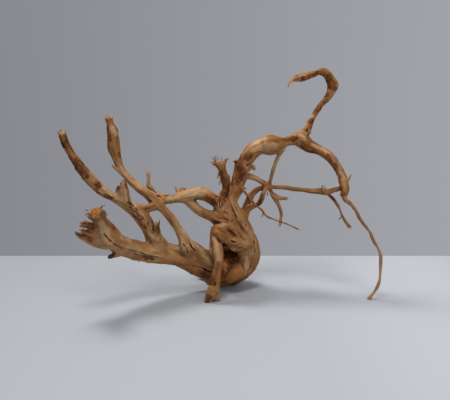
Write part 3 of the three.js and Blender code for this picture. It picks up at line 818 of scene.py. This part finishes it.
def add_limb(block, limb):
    """Carves a limb's relief and broken end, and joins it to the wood so far."""
    cells, distance, along = swept(block, limb)
    worked = np.abs(distance) < BAND
    points = block.points(cells, worked)
    place = along[worked]
    a, b, radius = limb.local(points, place)
    distance[worked] -= limb.relief(a, b, place, radius)
    if limb.jag:
        near_end = (distance < BAND) & (along > limb.along[-1] - 2 * limb.radius[-1] - 4)
        ends = block.points(cells, near_end)
        distance[near_end] = snapped_off(limb, ends, distance[near_end])
    blend = float(np.clip(0.55 * limb.mean_radius, 1.6, 7.0))
    before = block.distance[cells]
    block.owner[cells] = np.where(distance < before, limb.index, block.owner[cells])
    block.distance[cells] = smooth_union(before, distance, blend)


# Hollows: each is a run of points (x, y, z, radius) along which the wood is scooped away.
HOLLOWS = {
    "mouth": [(-1, 5, 69, 9), (1, 19, 66, 12), (2, 33, 62, 13), (3, 45, 60, 10)],
    "mouth_floor": [(-3, 7, 57, 7), (-2, 17, 55, 9), (-1, 27, 54, 8)],
}
HOLLOW_BLEND = 3.0
CRACK_BLEND = 0.8
WIDEST_CRACK = 2.0  # wider dark marks are only painted on, not carved
FOLD_DEPTH = 1.1
FOLD_EDGE = 2.6  # width over which a fold slopes down
DEPTH_SHARE = 0.4  # cracks are deeper, front to back, than they are wide


def scooped(block, stations, blend=HOLLOW_BLEND, depth_share=1.0):
    """Scoops a hollow: the wood keeps off the run of points by their radius."""
    stations = np.array(stations, float)
    reach = stations[:, 3].max() + blend + 2
    cells = block.cells(stations[:, :3].min(0) - reach, stations[:, :3].max(0) + reach)
    hollow = np.full([c.stop - c.start for c in cells], FAR)
    stations[:, 1] *= depth_share
    for start, end in zip(stations, stations[1:]):
        step = end - start
        x, y, z = block.axes(cells)
        x, y, z = x - start[0], y * depth_share - start[1], z - start[2]
        square_length = np.dot(step[:3], step[:3])
        hollow = np.minimum(hollow, to_bar(x, y, z, step, square_length, start[3], step[3])[1])
    hollow += 0.3 * blend * JAGS(*(line / 4.0 for line in block.axes(cells)))
    block.distance[cells] = -smooth_union(-block.distance[cells], hollow, blend)


def cracked(block):
    """Opens the drawn cracks in the surface."""
    for stations in DARK_CRACKS_AND_SHADE.values():
        if max(station[3] for station in stations) < WIDEST_CRACK:
            scooped(block, stations, CRACK_BLEND, DEPTH_SHARE)


def weathered(block):
    """Lumps and pits all over, the drawn folds, and the underside worn flat where it stands."""
    near = np.abs(block.distance) < 3.0
    points = block.points((slice(0, None),) * 3, near)
    x, y, z = points.T
    lumps = LUMP_HEIGHT * LUMPS(x / LUMP_SIZE, y / LUMP_SIZE, z / LUMP_SIZE)
    lumps = lumps + PIT_DEPTH * PITS(x / PIT_SIZE, y / PIT_SIZE, z / PIT_SIZE)
    block.distance[near] += FOLD_DEPTH * cover_of(points, FOLDS, FOLD_EDGE, 1.0) - lumps
    floor = block.origin[2] + STEP * np.arange(block.shape[2])
    block.distance = np.maximum(block.distance, -floor.astype(np.float32))


def crossings_along(block, axis):
    """Where the surface crosses the grid along one axis.

    Returns each crossing, the four cells round it, and which way round they face outward.
    """
    inside = block.distance < 0
    low = tuple(slice(0, -1) if i == axis else slice(None) for i in range(3))
    high = tuple(slice(1, None) if i == axis else slice(None) for i in range(3))
    edge = np.argwhere(inside[low] != inside[high])
    here = block.distance[low][tuple(edge.T)]
    there = block.distance[high][tuple(edge.T)]
    crossing = edge.astype(float)
    crossing[:, axis] += here / (here - there)
    u, v = (i for i in range(3) if i != axis)
    ring = []
    for du, dv in ((0, 0), (-1, 0), (-1, -1), (0, -1)):
        cell = edge.copy()
        cell[:, u] += du
        cell[:, v] += dv
        ring.append(np.ravel_multi_index(tuple(cell.T), block.shape))
    return crossing, np.stack(ring, 1), (here < 0) != (axis == 1)


def skin(block):
    """The surface of the wood: a point in each grid cell that it crosses, joined four by four."""
    cells, crossings, rings = [], [], []
    for axis in range(3):
        crossing, ring, outward = crossings_along(block, axis)
        cells.append(ring.T.ravel())
        crossings.extend([crossing] * 4)
        rings.append(np.where(outward[:, None], ring, ring[:, ::-1]))
    ids, which = np.unique(np.concatenate(cells), return_inverse=True)
    crossings = np.concatenate(crossings)
    count = np.bincount(which)
    middle = np.stack([np.bincount(which, crossings[:, i]) / count for i in range(3)], 1)
    points = block.origin + STEP * middle
    return points, np.searchsorted(ids, np.concatenate(rings))


def in_scene(name, data):
    made = bpy.data.objects.new(name, data)
    bpy.context.scene.collection.objects.link(made)
    return made


def new_mesh(name, points, edges, faces):
    """A mesh object in metres from points in millimetres."""
    mesh = bpy.data.meshes.new(name)
    mesh.from_pydata((np.asarray(points) * MM).tolist(), edges, faces)
    mesh.update()
    return in_scene(name, mesh)


def settled(piece):
    """Turns a piece's live modifiers into a plain mesh."""
    graph = bpy.context.evaluated_depsgraph_get()
    mesh = bpy.data.meshes.new_from_object(piece.evaluated_get(graph))
    old = piece.data
    piece.modifiers.clear()
    piece.data = mesh
    mesh.name = piece.name
    bpy.data.meshes.remove(old)
    return piece


def points_of(piece):
    rows = np.empty(len(piece.data.vertices) * 3, np.float32)
    piece.data.vertices.foreach_get("co", rows)
    return rows.reshape(-1, 3).astype(float) / MM


def write_numbers(piece, name, values):
    attribute = piece.data.attributes.new(name, "FLOAT", "POINT")
    attribute.data.foreach_set("value", np.asarray(values, np.float32))


def write_vectors(piece, name, rows):
    attribute = piece.data.attributes.new(name, "FLOAT_VECTOR", "POINT")
    attribute.data.foreach_set("vector", np.asarray(rows, np.float32).ravel())


class Nodes:
    """A node tree that is wired up by short calls."""

    def __init__(self, tree):
        self.tree = tree

    def node(self, kind, settings=None, **links):
        """A node with its settings, and its inputs linked or set by socket name."""
        node = self.tree.nodes.new(kind)
        for key, value in (settings or {}).items():
            setattr(node, key, value)
        for key, value in links.items():
            self.feed(node, key.replace("_", " "), value)
        return node

    def feed(self, node, key, value):
        """Links or sets one input, by socket name or number."""
        socket = node.inputs[key]
        if isinstance(value, bpy.types.Node):
            value = value.outputs[0]
        if isinstance(value, bpy.types.NodeSocket):
            self.tree.links.new(value, socket)
        else:
            socket.default_value = value

    def math(self, operation, a, b=0.0):
        node = self.node("ShaderNodeMath", {"operation": operation})
        self.feed(node, 0, a)
        self.feed(node, 1, b)
        return node.outputs[0]

    def times(self, a, b):
        return self.math("MULTIPLY", a, b)

    def ramp(self, value, *stops):
        """A smooth step between colours, or between shares of grey, at places along a value."""
        node = self.node("ShaderNodeValToRGB", Fac=value)
        elements = node.color_ramp.elements
        while len(elements) < len(stops):
            elements.new(0.5)
        for element, (place, colour) in zip(elements, stops):
            element.position = place
            element.color = (*colour, 1) if isinstance(colour, tuple) else (colour,) * 3 + (1,)
        return node.outputs["Color"]


class Tree(Nodes):
    """A Geometry Nodes tree with named inputs."""

    def __init__(self, name, **inputs):
        super().__init__(bpy.data.node_groups.new(name, "GeometryNodeTree"))
        face = self.tree.interface
        face.new_socket("Geometry", in_out="INPUT", socket_type="NodeSocketGeometry")
        face.new_socket("Geometry", in_out="OUTPUT", socket_type="NodeSocketGeometry")
        kinds = {int: "NodeSocketInt", float: "NodeSocketFloat"}
        self.values = {}
        for label, value in inputs.items():
            kind = kinds.get(type(value), "NodeSocketMaterial")
            made = face.new_socket(label, in_out="INPUT", socket_type=kind)
            self.values[made.identifier] = value
        self.inlet = self.tree.nodes.new("NodeGroupInput")
        self.outlet = self.tree.nodes.new("NodeGroupOutput")

    def input(self, label):
        return self.inlet.outputs[label]

    def attribute(self, name, kind="FLOAT"):
        node = self.node("GeometryNodeInputNamedAttribute", {"data_type": kind}, Name=name)
        return node.outputs["Attribute"]

    def vector(self, operation, a, b):
        """Two vectors added or subtracted, or a vector scaled by a number."""
        node = self.node("ShaderNodeVectorMath", {"operation": operation})
        self.feed(node, 0, a)
        self.feed(node, "Scale" if operation == "SCALE" else 1, b)
        return node

    def points_where(self, mask, least):
        """Points strewn over the surface where a mark is stronger than least."""
        strength = self.attribute(mask)
        density = self.times(strength, self.input("per_square_metre"))
        chosen = self.math("GREATER_THAN", strength, least)
        return self.node("GeometryNodeDistributePointsOnFaces", Mesh=self.input("Geometry"),
                         Selection=chosen, Density=density, Seed=self.input("seed"))

    def finish_strewn(self, spread, shape, turn, sizes, seed):
        """Sets the shape on each strewn point, between the smallest and the largest size."""
        size = self.node("FunctionNodeRandomValue", {"data_type": "FLOAT"}, Seed=seed)
        self.feed(size, 2, sizes[0])
        self.feed(size, 3, sizes[1])
        placed = self.node("GeometryNodeInstanceOnPoints", Points=spread.outputs["Points"],
                           Instance=shape, Rotation=turn, Scale=size.outputs[1])
        self.finish(placed)

    def finish(self, geometry):
        whole = self.node("GeometryNodeRealizeInstances", Geometry=geometry)
        dressed = self.node("GeometryNodeSetMaterial", Geometry=whole,
                            Material=self.input("material"))
        self.feed(self.outlet, "Geometry", dressed)

    def run_on(self, piece):
        """Runs the tree on a piece and leaves the result as its plain mesh."""
        modifier = piece.modifiers.new(self.tree.name, "NODES")
        modifier.node_group = self.tree
        for identifier, value in self.values.items():
            modifier[identifier] = value
        return settled(piece)


SMALLEST_CRUMB = 400  # loose crumbs of wood with fewer faces than this are dropped
FACES_KEPT = 190_000


def without_crumbs(piece):
    """Drops the loose crumbs that broken ends leave."""
    tree = Tree("loose_crumbs", smallest=SMALLEST_CRUMB)
    island = tree.node("GeometryNodeInputMeshIsland")
    size = tree.node("GeometryNodeAccumulateField", {"data_type": "INT", "domain": "FACE"})
    tree.feed(size, "Value", 1)
    tree.feed(size, "Group ID", island.outputs["Island Index"])
    small = tree.node("FunctionNodeCompare", {"data_type": "INT", "operation": "LESS_THAN"})
    tree.feed(small, "A", size.outputs["Total"])
    tree.feed(small, "B", tree.input("smallest"))
    kept = tree.node("GeometryNodeDeleteGeometry", {"domain": "FACE"},
                     Geometry=tree.input("Geometry"), Selection=small)
    tree.feed(tree.outlet, "Geometry", kept)
    return tree.run_on(piece)


def thinned(piece):
    """Keeps the fine triangles where the wood is rough and drops them where it is plain."""
    triangles = 2 * len(piece.data.polygons)
    if triangles > FACES_KEPT:
        fewer = piece.modifiers.new("fewer_faces", "DECIMATE")
        fewer.ratio = FACES_KEPT / triangles
        settled(piece)
    return piece


def carved_root(limbs):
    """The root's wood as one mesh, and the block that it was carved in."""
    block = Block(cad_box)
    for limb in limbs:
        add_limb(block, limb)
    for stations in HOLLOWS.values():
        scooped(block, stations)
    cracked(block)
    weathered(block)
    points, faces = skin(block)
    piece = thinned(without_crumbs(new_mesh("root_wood", points, [], faces.tolist())))
    piece.data.shade_smooth()
    return piece, block


MARK_REACH = 150.0  # no mark runs farther than this from its first point
RAGGED_SIZE = 6.0
RAGGED_DETAIL = 2.5


def gap_to_run(points, stations, depth_share):
    """How far points are past a run's own radius; below zero inside it."""
    stations = np.array(stations if len(stations) > 1 else stations * 2, float)
    points = points * (1, depth_share, 1)
    stations[:, 1] *= depth_share
    gap = np.full(len(points), FAR)
    for start, end in zip(stations, stations[1:]):
        step = end - start
        length = max(np.dot(step[:3], step[:3]), 1e-6)
        t = np.clip((points - start[:3]) @ step[:3] / length, 0, 1)
        away = np.linalg.norm(points - start[:3] - t[:, None] * step[:3], axis=1)
        gap = np.minimum(gap, away - (start[3] + t * step[3]))
    return gap


def cover_of(points, marks, edge, depth_share):
    """How strongly marks cover the points, 0 to 1; a wide edge is ragged and soft."""
    cover = np.zeros(len(points))
    x, y, z = points.T
    ragged = LUMPS(x / RAGGED_SIZE, y / RAGGED_SIZE, z / RAGGED_SIZE)
    ragged = ragged + 0.6 * PITS(x / RAGGED_DETAIL, y / RAGGED_DETAIL, z / RAGGED_DETAIL)
    for stations in marks.values():
        near = np.linalg.norm(points - stations[0][:3], axis=1) < MARK_REACH
        gap = gap_to_run(points[near], stations, depth_share) + 0.45 * edge * ragged[near]
        cover[near] = np.maximum(cover[near], np.clip(0.5 - gap / edge, 0, 1))
    return cover


def broken_end(limb, a, b, along, radius, outward):
    """How strongly points are on the rim of a limb's broken end, and on its bare face."""
    end = np.clip((along - limb.along[-1]) / (1.5 + limb.jag) + 1.0, 0, 1)
    rim = np.clip(3.0 * np.hypot(a, b) / np.maximum(radius, 1.0) - 1.8, 0, 1)
    facing = np.clip(3.0 * (outward @ limb.tangent[-1]) - 1.5, 0, 1)
    return end * rim, end * facing * (1 - rim)


def grain_of(points, outward, limbs, block):
    """What each point takes from its limb.

    That is its place in the grain, the grain's direction, how cracked it is, whether it is on a
    broken rim, how thick the limb is there, and whether it is on a freshly broken face.
    """
    place, direction = np.zeros((2, len(points), 3))
    crack, broken, thickness, fresh = np.zeros((4, len(points)))
    owners = block.owner_at(points)
    for limb in limbs:
        mine = np.flatnonzero(owners == limb.index)
        if not len(mine):
            continue
        here = points[mine]
        gap = np.linalg.norm(here[:, None] - limb.centre[None], axis=2)
        nearest = gap.argmin(1)
        lean = np.einsum("ij,ij->i", here - limb.centre[nearest], limb.tangent[nearest])
        along = limb.along[nearest] + lean
        a, b, radius = limb.local(here, np.clip(along, 0, limb.along[-1]))
        place[mine] = np.stack((a, b, along + 37.0 * limb.index), 1)
        direction[mine] = limb.tangent[nearest]
        crack[mine] = limb.crack(a, b, along)
        thickness[mine] = radius
        if limb.jag:
            broken[mine], fresh[mine] = broken_end(limb, a, b, along, radius, outward[mine])
    return place, direction, crack, broken, thickness, fresh


def facing_out(points, block):
    """The way out of the wood at each point, from how its distance grows."""
    steps = 1.2 * np.eye(3)
    return unit(np.stack(
        [block.sample(points + s) - block.sample(points - s) for s in steps], axis=1))


def shut_in(points, outward, block):
    """0 in the open and 1 deep in a crevice."""
    covered = np.zeros(len(points))
    for reach, share in ((2.5, 0.4), (6.0, 0.35), (12.0, 0.25)):
        free = block.sample(points + reach * outward) / reach
        covered += share * np.clip(1 - free, 0, 1)
    return covered


def standing_out(points, outward, block):
    """0 on flat wood and 1 on a sharp ridge."""
    depth = 2.5
    return np.clip(1 + block.sample(points - depth * outward) / depth, 0, 1)


def marked(piece, limbs, block):
    """Writes on the mesh what its finish and its splinters go by."""
    points = points_of(piece)
    outward = facing_out(points, block)
    place, direction, crack, broken, thickness, fresh = grain_of(
        points, outward, limbs, block)
    write_vectors(piece, "grain", place * MM)
    write_vectors(piece, "grain_way", direction)
    write_numbers(piece, "crack", crack)
    write_numbers(piece, "broken", broken)
    write_numbers(piece, "thickness", thickness * MM)
    write_numbers(piece, "hollow", shut_in(points, outward, block))
    write_numbers(piece, "ridge", standing_out(points, outward, block))
    kinds = (
        ("bark", BARK, 5.0, 1.0),
        ("pale", PALE, 3.0, 1.0),
        ("dark_cracks_and_shade", DARK_CRACKS_AND_SHADE, 1.0, DEPTH_SHARE),
        ("fold", FOLDS, FOLD_EDGE, 1.0),
        ("orange", ORANGE, 1.2, 1.0),
        ("shaggy", SHAGGY, 4.0, 1.0),
    )
    for name, marks, edge, depth_share in kinds:
        write_numbers(piece, name, cover_of(points, marks, edge, depth_share))
    write_numbers(piece, "fresh", fresh)


def path_mesh(name, runs):
    """Runs of points (x, y, z, radius) as a mesh of plain edges that carries their radius."""
    points, edges = [], []
    for stations in runs:
        smooth = Limb.smooth(np.array(stations, float))
        first = len(points)
        points.extend(smooth)
        edges.extend((i, i + 1) for i in range(first, len(points) - 1))
    points = np.array(points)
    piece = new_mesh(name, points[:, :3], edges, [])
    write_numbers(piece, "path_radius", points[:, 3] * MM)
    return piece


def thin_rootlets(runs, material):
    """Round rootlets and hairs along runs of points, each a little wavy and lumpy."""
    tree = Tree("rootlet_tubes", sides=7, waviness=0.0009, wave_size=90.0, lumps=0.25,
                material=material)
    place = tree.node("GeometryNodeInputPosition")
    noise = tree.node("ShaderNodeTexNoise", Vector=place, Scale=tree.input("wave_size"), Detail=2.0)
    middle = tree.vector("SUBTRACT", noise.outputs["Color"], (0.5, 0.5, 0.5))
    shift = tree.vector("SCALE", middle, tree.input("waviness"))
    moved = tree.node("GeometryNodeSetPosition", Geometry=tree.input("Geometry"), Offset=shift)
    curve = tree.node("GeometryNodeMeshToCurve", Mesh=moved)
    swell = tree.times(tree.math("SUBTRACT", noise.outputs["Fac"], 0.5), tree.input("lumps"))
    share = tree.math("ADD", tree.times(swell, 4.0), 1.0)
    radius = tree.times(tree.attribute("path_radius"), share)
    ring = tree.node("GeometryNodeCurvePrimitiveCircle", Resolution=tree.input("sides"),
                     Radius=1.0)
    tube = tree.node("GeometryNodeCurveToMesh", Curve=curve, Scale=radius,
                     Profile_Curve=ring.outputs["Curve"], Fill_Caps=True)
    smooth = tree.node("GeometryNodeSetShadeSmooth", Geometry=tube)
    tree.finish(smooth)
    return tree.run_on(path_mesh("thin_rootlets", runs))


def splinters(root, name, mask, material, **sizes):
    """Tapered slivers of wood that stand where a mask is strong and lie along the grain."""
    tree = Tree(name, material=material, **sizes)
    spread = tree.points_where(mask, 0.4)
    random = tree.node("FunctionNodeRandomValue", {"data_type": "FLOAT_VECTOR"},
                       Seed=tree.input("seed"))
    tree.feed(random, 0, (-1, -1, -1))
    tree.feed(random, 1, (1, 1, 1))
    stray = tree.vector("SCALE", random.outputs["Value"], tree.input("stray"))
    lift = tree.vector("SCALE", spread.outputs["Normal"], tree.input("lift"))
    lean = tree.vector("ADD", stray, lift)
    way = tree.vector("ADD", tree.attribute("grain_way", "FLOAT_VECTOR"), lean)
    turn = tree.node("FunctionNodeAlignRotationToVector", {"axis": "Z"}, Vector=way)
    sliver = tree.node("GeometryNodeMeshCone", Vertices=4, Side_Segments=2,
                       Radius_Top=tree.input("tip_radius"), Radius_Bottom=tree.input("radius"),
                       Depth=tree.input("length"))
    tree.finish_strewn(spread, sliver.outputs["Mesh"], turn, sizes=(0.45, 1.3), seed=7)
    return tree.run_on(in_scene(name, root.data.copy()))


def bark_flakes(root, material):
    """Thin curled flakes of bark that cling where bark is left."""
    tree = Tree("clinging_flakes", per_square_metre=60000.0, length=0.0042, width=0.0022,
                curl=0.0006, seed=SEED, material=material)
    spread = tree.points_where("bark", 0.5)
    flat = tree.node("FunctionNodeAxesToRotation", {"primary_axis": "Z", "secondary_axis": "X"})
    tree.feed(flat, 0, spread.outputs["Normal"])
    tree.feed(flat, 1, tree.attribute("grain_way", "FLOAT_VECTOR"))
    sheet = tree.node("GeometryNodeMeshIcoSphere", Radius=1.0, Subdivisions=1)
    shape = tree.node("ShaderNodeCombineXYZ", X=tree.input("length"), Y=tree.input("width"),
                      Z=tree.input("curl"))
    flake = tree.node("GeometryNodeTransform", Geometry=sheet.outputs["Mesh"], Scale=shape)
    tree.finish_strewn(spread, flake, flat, sizes=(0.3, 1.0), seed=3)
    return tree.run_on(in_scene("bark_flakes", root.data.copy()))


class Finish(Nodes):
    """A material, wired up by short calls."""

    def __init__(self, name):
        self.material = bpy.data.materials.new(name)
        self.material.use_nodes = True
        super().__init__(self.material.node_tree)
        self.shader = next(n for n in self.tree.nodes if n.type == "BSDF_PRINCIPLED")

    def mark(self, name, output="Fac"):
        """What is written on the mesh: how strongly a mark covers it, or the grain."""
        node = self.node("ShaderNodeAttribute", {"attribute_name": name})
        return node.outputs[output]

    def place(self):
        return self.node("ShaderNodeTexCoord").outputs["Object"]

    def stretched(self, vector, across, along):
        return self.node("ShaderNodeMapping", Vector=vector, Scale=(across, across, along))

    def noise(self, vector, detail=3.0, roughness=0.55, scale=1.0):
        return self.node("ShaderNodeTexNoise", Vector=vector, Scale=scale, Detail=detail,
                         Roughness=roughness).outputs["Fac"]

    def mix(self, share, under, over, way="MIX"):
        node = self.node("ShaderNodeMix", {"data_type": "RGBA", "blend_type": way})
        self.feed(node, 0, share)
        for key, value in ((6, under), (7, over)):
            self.feed(node, key, (*value, 1) if isinstance(value, tuple) else value)
        return node.outputs[2]

    def tinted_by_mark(self, colour, mark, strength, tint):
        """The colour with a tint over it where a mark covers the surface: a stain, painted shade or
        painted highlight.
        """
        return self.mix(self.times(self.mark(mark), strength), colour, tint)

    def bump(self, height, distance, strength, under=None):
        node = self.node("ShaderNodeBump", Height=height, Distance=distance, Strength=strength)
        if under is not None:
            self.feed(node, "Normal", under)
        return node.outputs["Normal"]


# Wood colours, as light reflected from 0 to 1.
STRAW = (0.50, 0.325, 0.172)
TAN = (0.305, 0.138, 0.045)
BROWN = (0.195, 0.067, 0.015)
RUST_BROWN = (0.110, 0.027, 0.006)
UMBER = (0.058, 0.016, 0.005)
AMBER = (0.33, 0.117, 0.021)
DEEP = (0.030, 0.009, 0.002)
WOOD_SHINE = 0.15  # specular level: dry wood is nearly dull


def bare_wood(wood, patch, fine, broad):
    """The wood's own tints, striped along the grain, and more so on thin limbs, then paler on ridges
    and pale marks, partly from wear and partly as painted highlight.
    """
    cloud = wood.noise(wood.place(), scale=13.0, detail=3.0)
    colour = wood.ramp(cloud, (0.30, BROWN), (0.50, TAN), (0.74, STRAW))
    thin = wood.ramp(wood.times(wood.mark("thickness"), 40.0), (0.40, 1.0), (0.62, 0.45))
    stripes = wood.ramp(broad, (0.30, 0.72), (0.68, 1.22))
    colour = wood.mix(wood.times(thin, 0.8), colour, stripes, "MULTIPLY")
    reddened = wood.ramp(patch, (0.54, 0.0), (0.66, 0.7))
    colour = wood.mix(reddened, colour, BROWN)
    streaks = wood.ramp(fine, (0.34, 0.66), (0.64, 1.20))
    colour = wood.mix(wood.times(thin, 0.7), colour, streaks, "MULTIPLY")
    # Paler on ridges: partly worn edges, partly painted highlight.
    colour = wood.tinted_by_mark(colour, "ridge", 0.6, STRAW)
    # Paler where the pale marks are: partly worn wood, partly painted highlight.
    return wood.tinted_by_mark(colour, "pale", 0.6, STRAW)


def wood_colour(wood, fine, broad):
    """The wood's colour, from its own tints to the marks on it, with painted shade in crevices, folds
    and dark patches.
    """
    patch = wood.noise(wood.place(), scale=34.0, detail=4.0, roughness=0.6)
    colour = bare_wood(wood, patch, fine, broad)
    orange = wood.ramp(patch, (0.35, BROWN), (0.50, AMBER))
    torn = wood.math("MAXIMUM", wood.mark("fresh"), wood.mark("orange"))
    colour = wood.mix(wood.times(torn, 0.85), colour, orange)
    bark = wood.ramp(patch, (0.36, UMBER), (0.46, RUST_BROWN), (0.62, BROWN))
    clinging = wood.math("ADD", wood.mark("bark"), wood.times(broad, 0.9))
    clinging = wood.math("ADD", clinging, wood.times(patch, 0.5))
    clinging = wood.ramp(wood.times(clinging, 0.55), (0.46, 0.0), (0.66, 0.55), (0.90, 0.9))
    colour = wood.mix(wood.math("SUBTRACT", clinging, torn), colour, bark)
    # Painted shade: crevices and hollows are darkened towards rust brown where shade falls, less on the
    # bare orange wood.
    shade = wood.ramp(wood.mark("hollow"), (0.24, 0.0), (0.62, 0.9))
    shade = wood.math("SUBTRACT", shade, wood.mark("orange"))
    colour = wood.mix(shade, colour, RUST_BROWN)
    colour = wood.tinted_by_mark(colour, "crack", 0.8, UMBER)
    # Painted shade: the folds are darkened towards rust brown, as shade falls in creases.
    colour = wood.tinted_by_mark(colour, "fold", 0.75, RUST_BROWN)
    # Dark cracks, and painted shade where a dark patch stands in a crevice.
    return wood.tinted_by_mark(colour, "dark_cracks_and_shade", 0.75, DEEP)


def weathered_wood():
    wood = Finish("weathered_wood")
    grain = wood.mark("grain", "Vector")
    fine = wood.noise(wood.stretched(grain, 380.0, 30.0))
    broad = wood.noise(wood.stretched(grain, 150.0, 18.0), detail=2.0)
    roughness = wood.ramp(fine, (0.25, 0.72), (0.75, 0.50))
    ribs = wood.bump(broad, 0.0012, 0.35)
    relief = wood.bump(fine, 0.0008, 0.6, under=ribs)
    wood.feed(wood.shader, "Base Color", wood_colour(wood, fine, broad))
    wood.feed(wood.shader, "Roughness", roughness)
    wood.feed(wood.shader, "Normal", relief)
    wood.shader.inputs["Specular IOR Level"].default_value = WOOD_SHINE
    return wood.material


def plain_finish(name, dark, light, roughness):
    """A finish for loose pieces, mottled between two colours."""
    wood = Finish(name)
    mottle = wood.noise(wood.place(), scale=160.0)
    wood.feed(wood.shader, "Base Color", wood.ramp(mottle, (0.35, dark), (0.65, light)))
    wood.shader.inputs["Roughness"].default_value = roughness
    wood.shader.inputs["Specular IOR Level"].default_value = WOOD_SHINE
    return wood.material


# The camera stands in front of the root and looks a little down on it.
EYE = (-0.006, -0.666, 0.270)
LOOKS_DOWN = 10.0  # degrees
LENS = 36.0
SENSOR = 36.0
FLOOR_BACK = 0.213  # the floor ends at the wall
FLOOR_REACH = 2.6
# The floor's greys, darker to the left: painted light falloff.
FLOOR_LEFT = (0.325, 0.340, 0.358)
FLOOR_MIDDLE = (0.400, 0.414, 0.436)
FLOOR_RIGHT = (0.520, 0.532, 0.556)
# The wall's greys, darker to the left: painted light falloff on the backdrop.
WALL_LEFT = (0.245, 0.252, 0.272)
WALL_RIGHT = (0.360, 0.368, 0.398)


def add_camera():
    camera = in_scene("camera", bpy.data.cameras.new("camera"))
    camera.data.lens = LENS
    camera.data.sensor_width = SENSOR
    camera.data.clip_start = 0.01
    camera.location = EYE
    camera.rotation_euler = (math.radians(90 - LOOKS_DOWN), 0, 0)
    bpy.context.scene.camera = camera


def add_floor():
    """A pale floor as far back as the wall, with painted light: a little darker to the left and
    brighter to the right.
    """
    corners = [(-FLOOR_REACH, -FLOOR_REACH, 0), (FLOOR_REACH, -FLOOR_REACH, 0),
               (FLOOR_REACH, FLOOR_BACK, 0), (-FLOOR_REACH, FLOOR_BACK, 0)]
    mesh = bpy.data.meshes.new("floor")
    mesh.from_pydata(corners, [], [(0, 1, 2, 3)])
    paint = Finish("floor_paint")
    across = paint.node("ShaderNodeSeparateXYZ", Vector=paint.place()).outputs["X"]
    share = paint.math("ADD", across, 0.5)
    # Painted light: the grey brightens from left to right, in place of light falling more strongly from
    # the right.
    grey = paint.ramp(share, (0.10, FLOOR_LEFT), (0.60, FLOOR_MIDDLE), (0.85, FLOOR_RIGHT))
    paint.feed(paint.shader, "Base Color", grey)
    paint.shader.inputs["Roughness"].default_value = 0.7
    mesh.materials.append(paint.material)
    in_scene("floor", mesh)


def add_wall_light():
    """The wall: a pale grey all round, painted a little darker to the left as painted light falloff."""
    world = bpy.data.worlds.new("wall")
    bpy.context.scene.world = world
    world.use_nodes = True
    wall = Nodes(world.node_tree)
    way = wall.node("ShaderNodeTexCoord").outputs["Generated"]
    across = wall.node("ShaderNodeSeparateXYZ", Vector=way).outputs["X"]
    share = wall.math("ADD", wall.times(across, 1.1), 0.5)
    # Painted light: the backdrop darkens to the left, in place of light falling off.
    wall.feed(wall.tree.nodes["Background"], "Color",
              wall.ramp(share, (0.0, WALL_LEFT), (1.0, WALL_RIGHT)))


def add_light(name, place, target, size, power):
    light = in_scene(name, bpy.data.lights.new(name, "AREA"))
    light.data.shape = "DISK"
    light.data.size = size
    light.data.energy = power
    light.location = place
    light.rotation_euler = (Vector(target) - Vector(place)).to_track_quat("-Z", "Y").to_euler()


def add_stage():
    add_camera()
    add_floor()
    add_wall_light()
    add_light("ceiling_light", (-0.50, 0.30, 1.45), (0, 0, 0), 0.38, 14.5)
    add_light("room_light", (-0.05, -0.50, 1.45), (0, 0, 0), 0.45, 9.5)
    add_light("window_light", (0.9, -1.5, 0.9), (0.1, 0, 0.1), 1.6, 8.0)
    bpy.context.scene.view_settings.view_transform = "Standard"


def part_of_root(piece, material=None):
    """The piece belongs to the root and stands for its plain CAD shape."""
    if material is not None:
        piece.data.materials.clear()
        piece.data.materials.append(material)
    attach(piece, BODY)
    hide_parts(NODE)


add_stage()
wood_finish = weathered_wood()
limbs = all_limbs()
root, block = carved_root(limbs)
marked(root, limbs, block)
part_of_root(root, wood_finish)
bark_finish = plain_finish("loose_bark", UMBER, BROWN, 0.8)
fibre_finish = plain_finish("torn_fibres", BROWN, STRAW, 0.7)
rootlet_finish = plain_finish("rootlet_bark", RUST_BROWN, TAN, 0.65)
tubes = [group[name] for group in LIMB_GROUPS for name in TUBE_LIMBS if name in group]
for piece in (
        thin_rootlets(tubes + list(HAIRS.values()), rootlet_finish),
        splinters(root, "torn_fibres", "broken", fibre_finish, per_square_metre=380000.0,
                  length=0.0034, radius=0.0005, tip_radius=0.00012, stray=0.4, lift=0.15,
                  seed=SEED),
        splinters(root, "loose_splinters", "shaggy", fibre_finish, per_square_metre=120000.0,
                  length=0.0075, radius=0.0007, tip_radius=0.00015, stray=0.22, lift=0.12,
                  seed=SEED + 1),
        bark_flakes(root, bark_finish),
):
    part_of_root(piece)
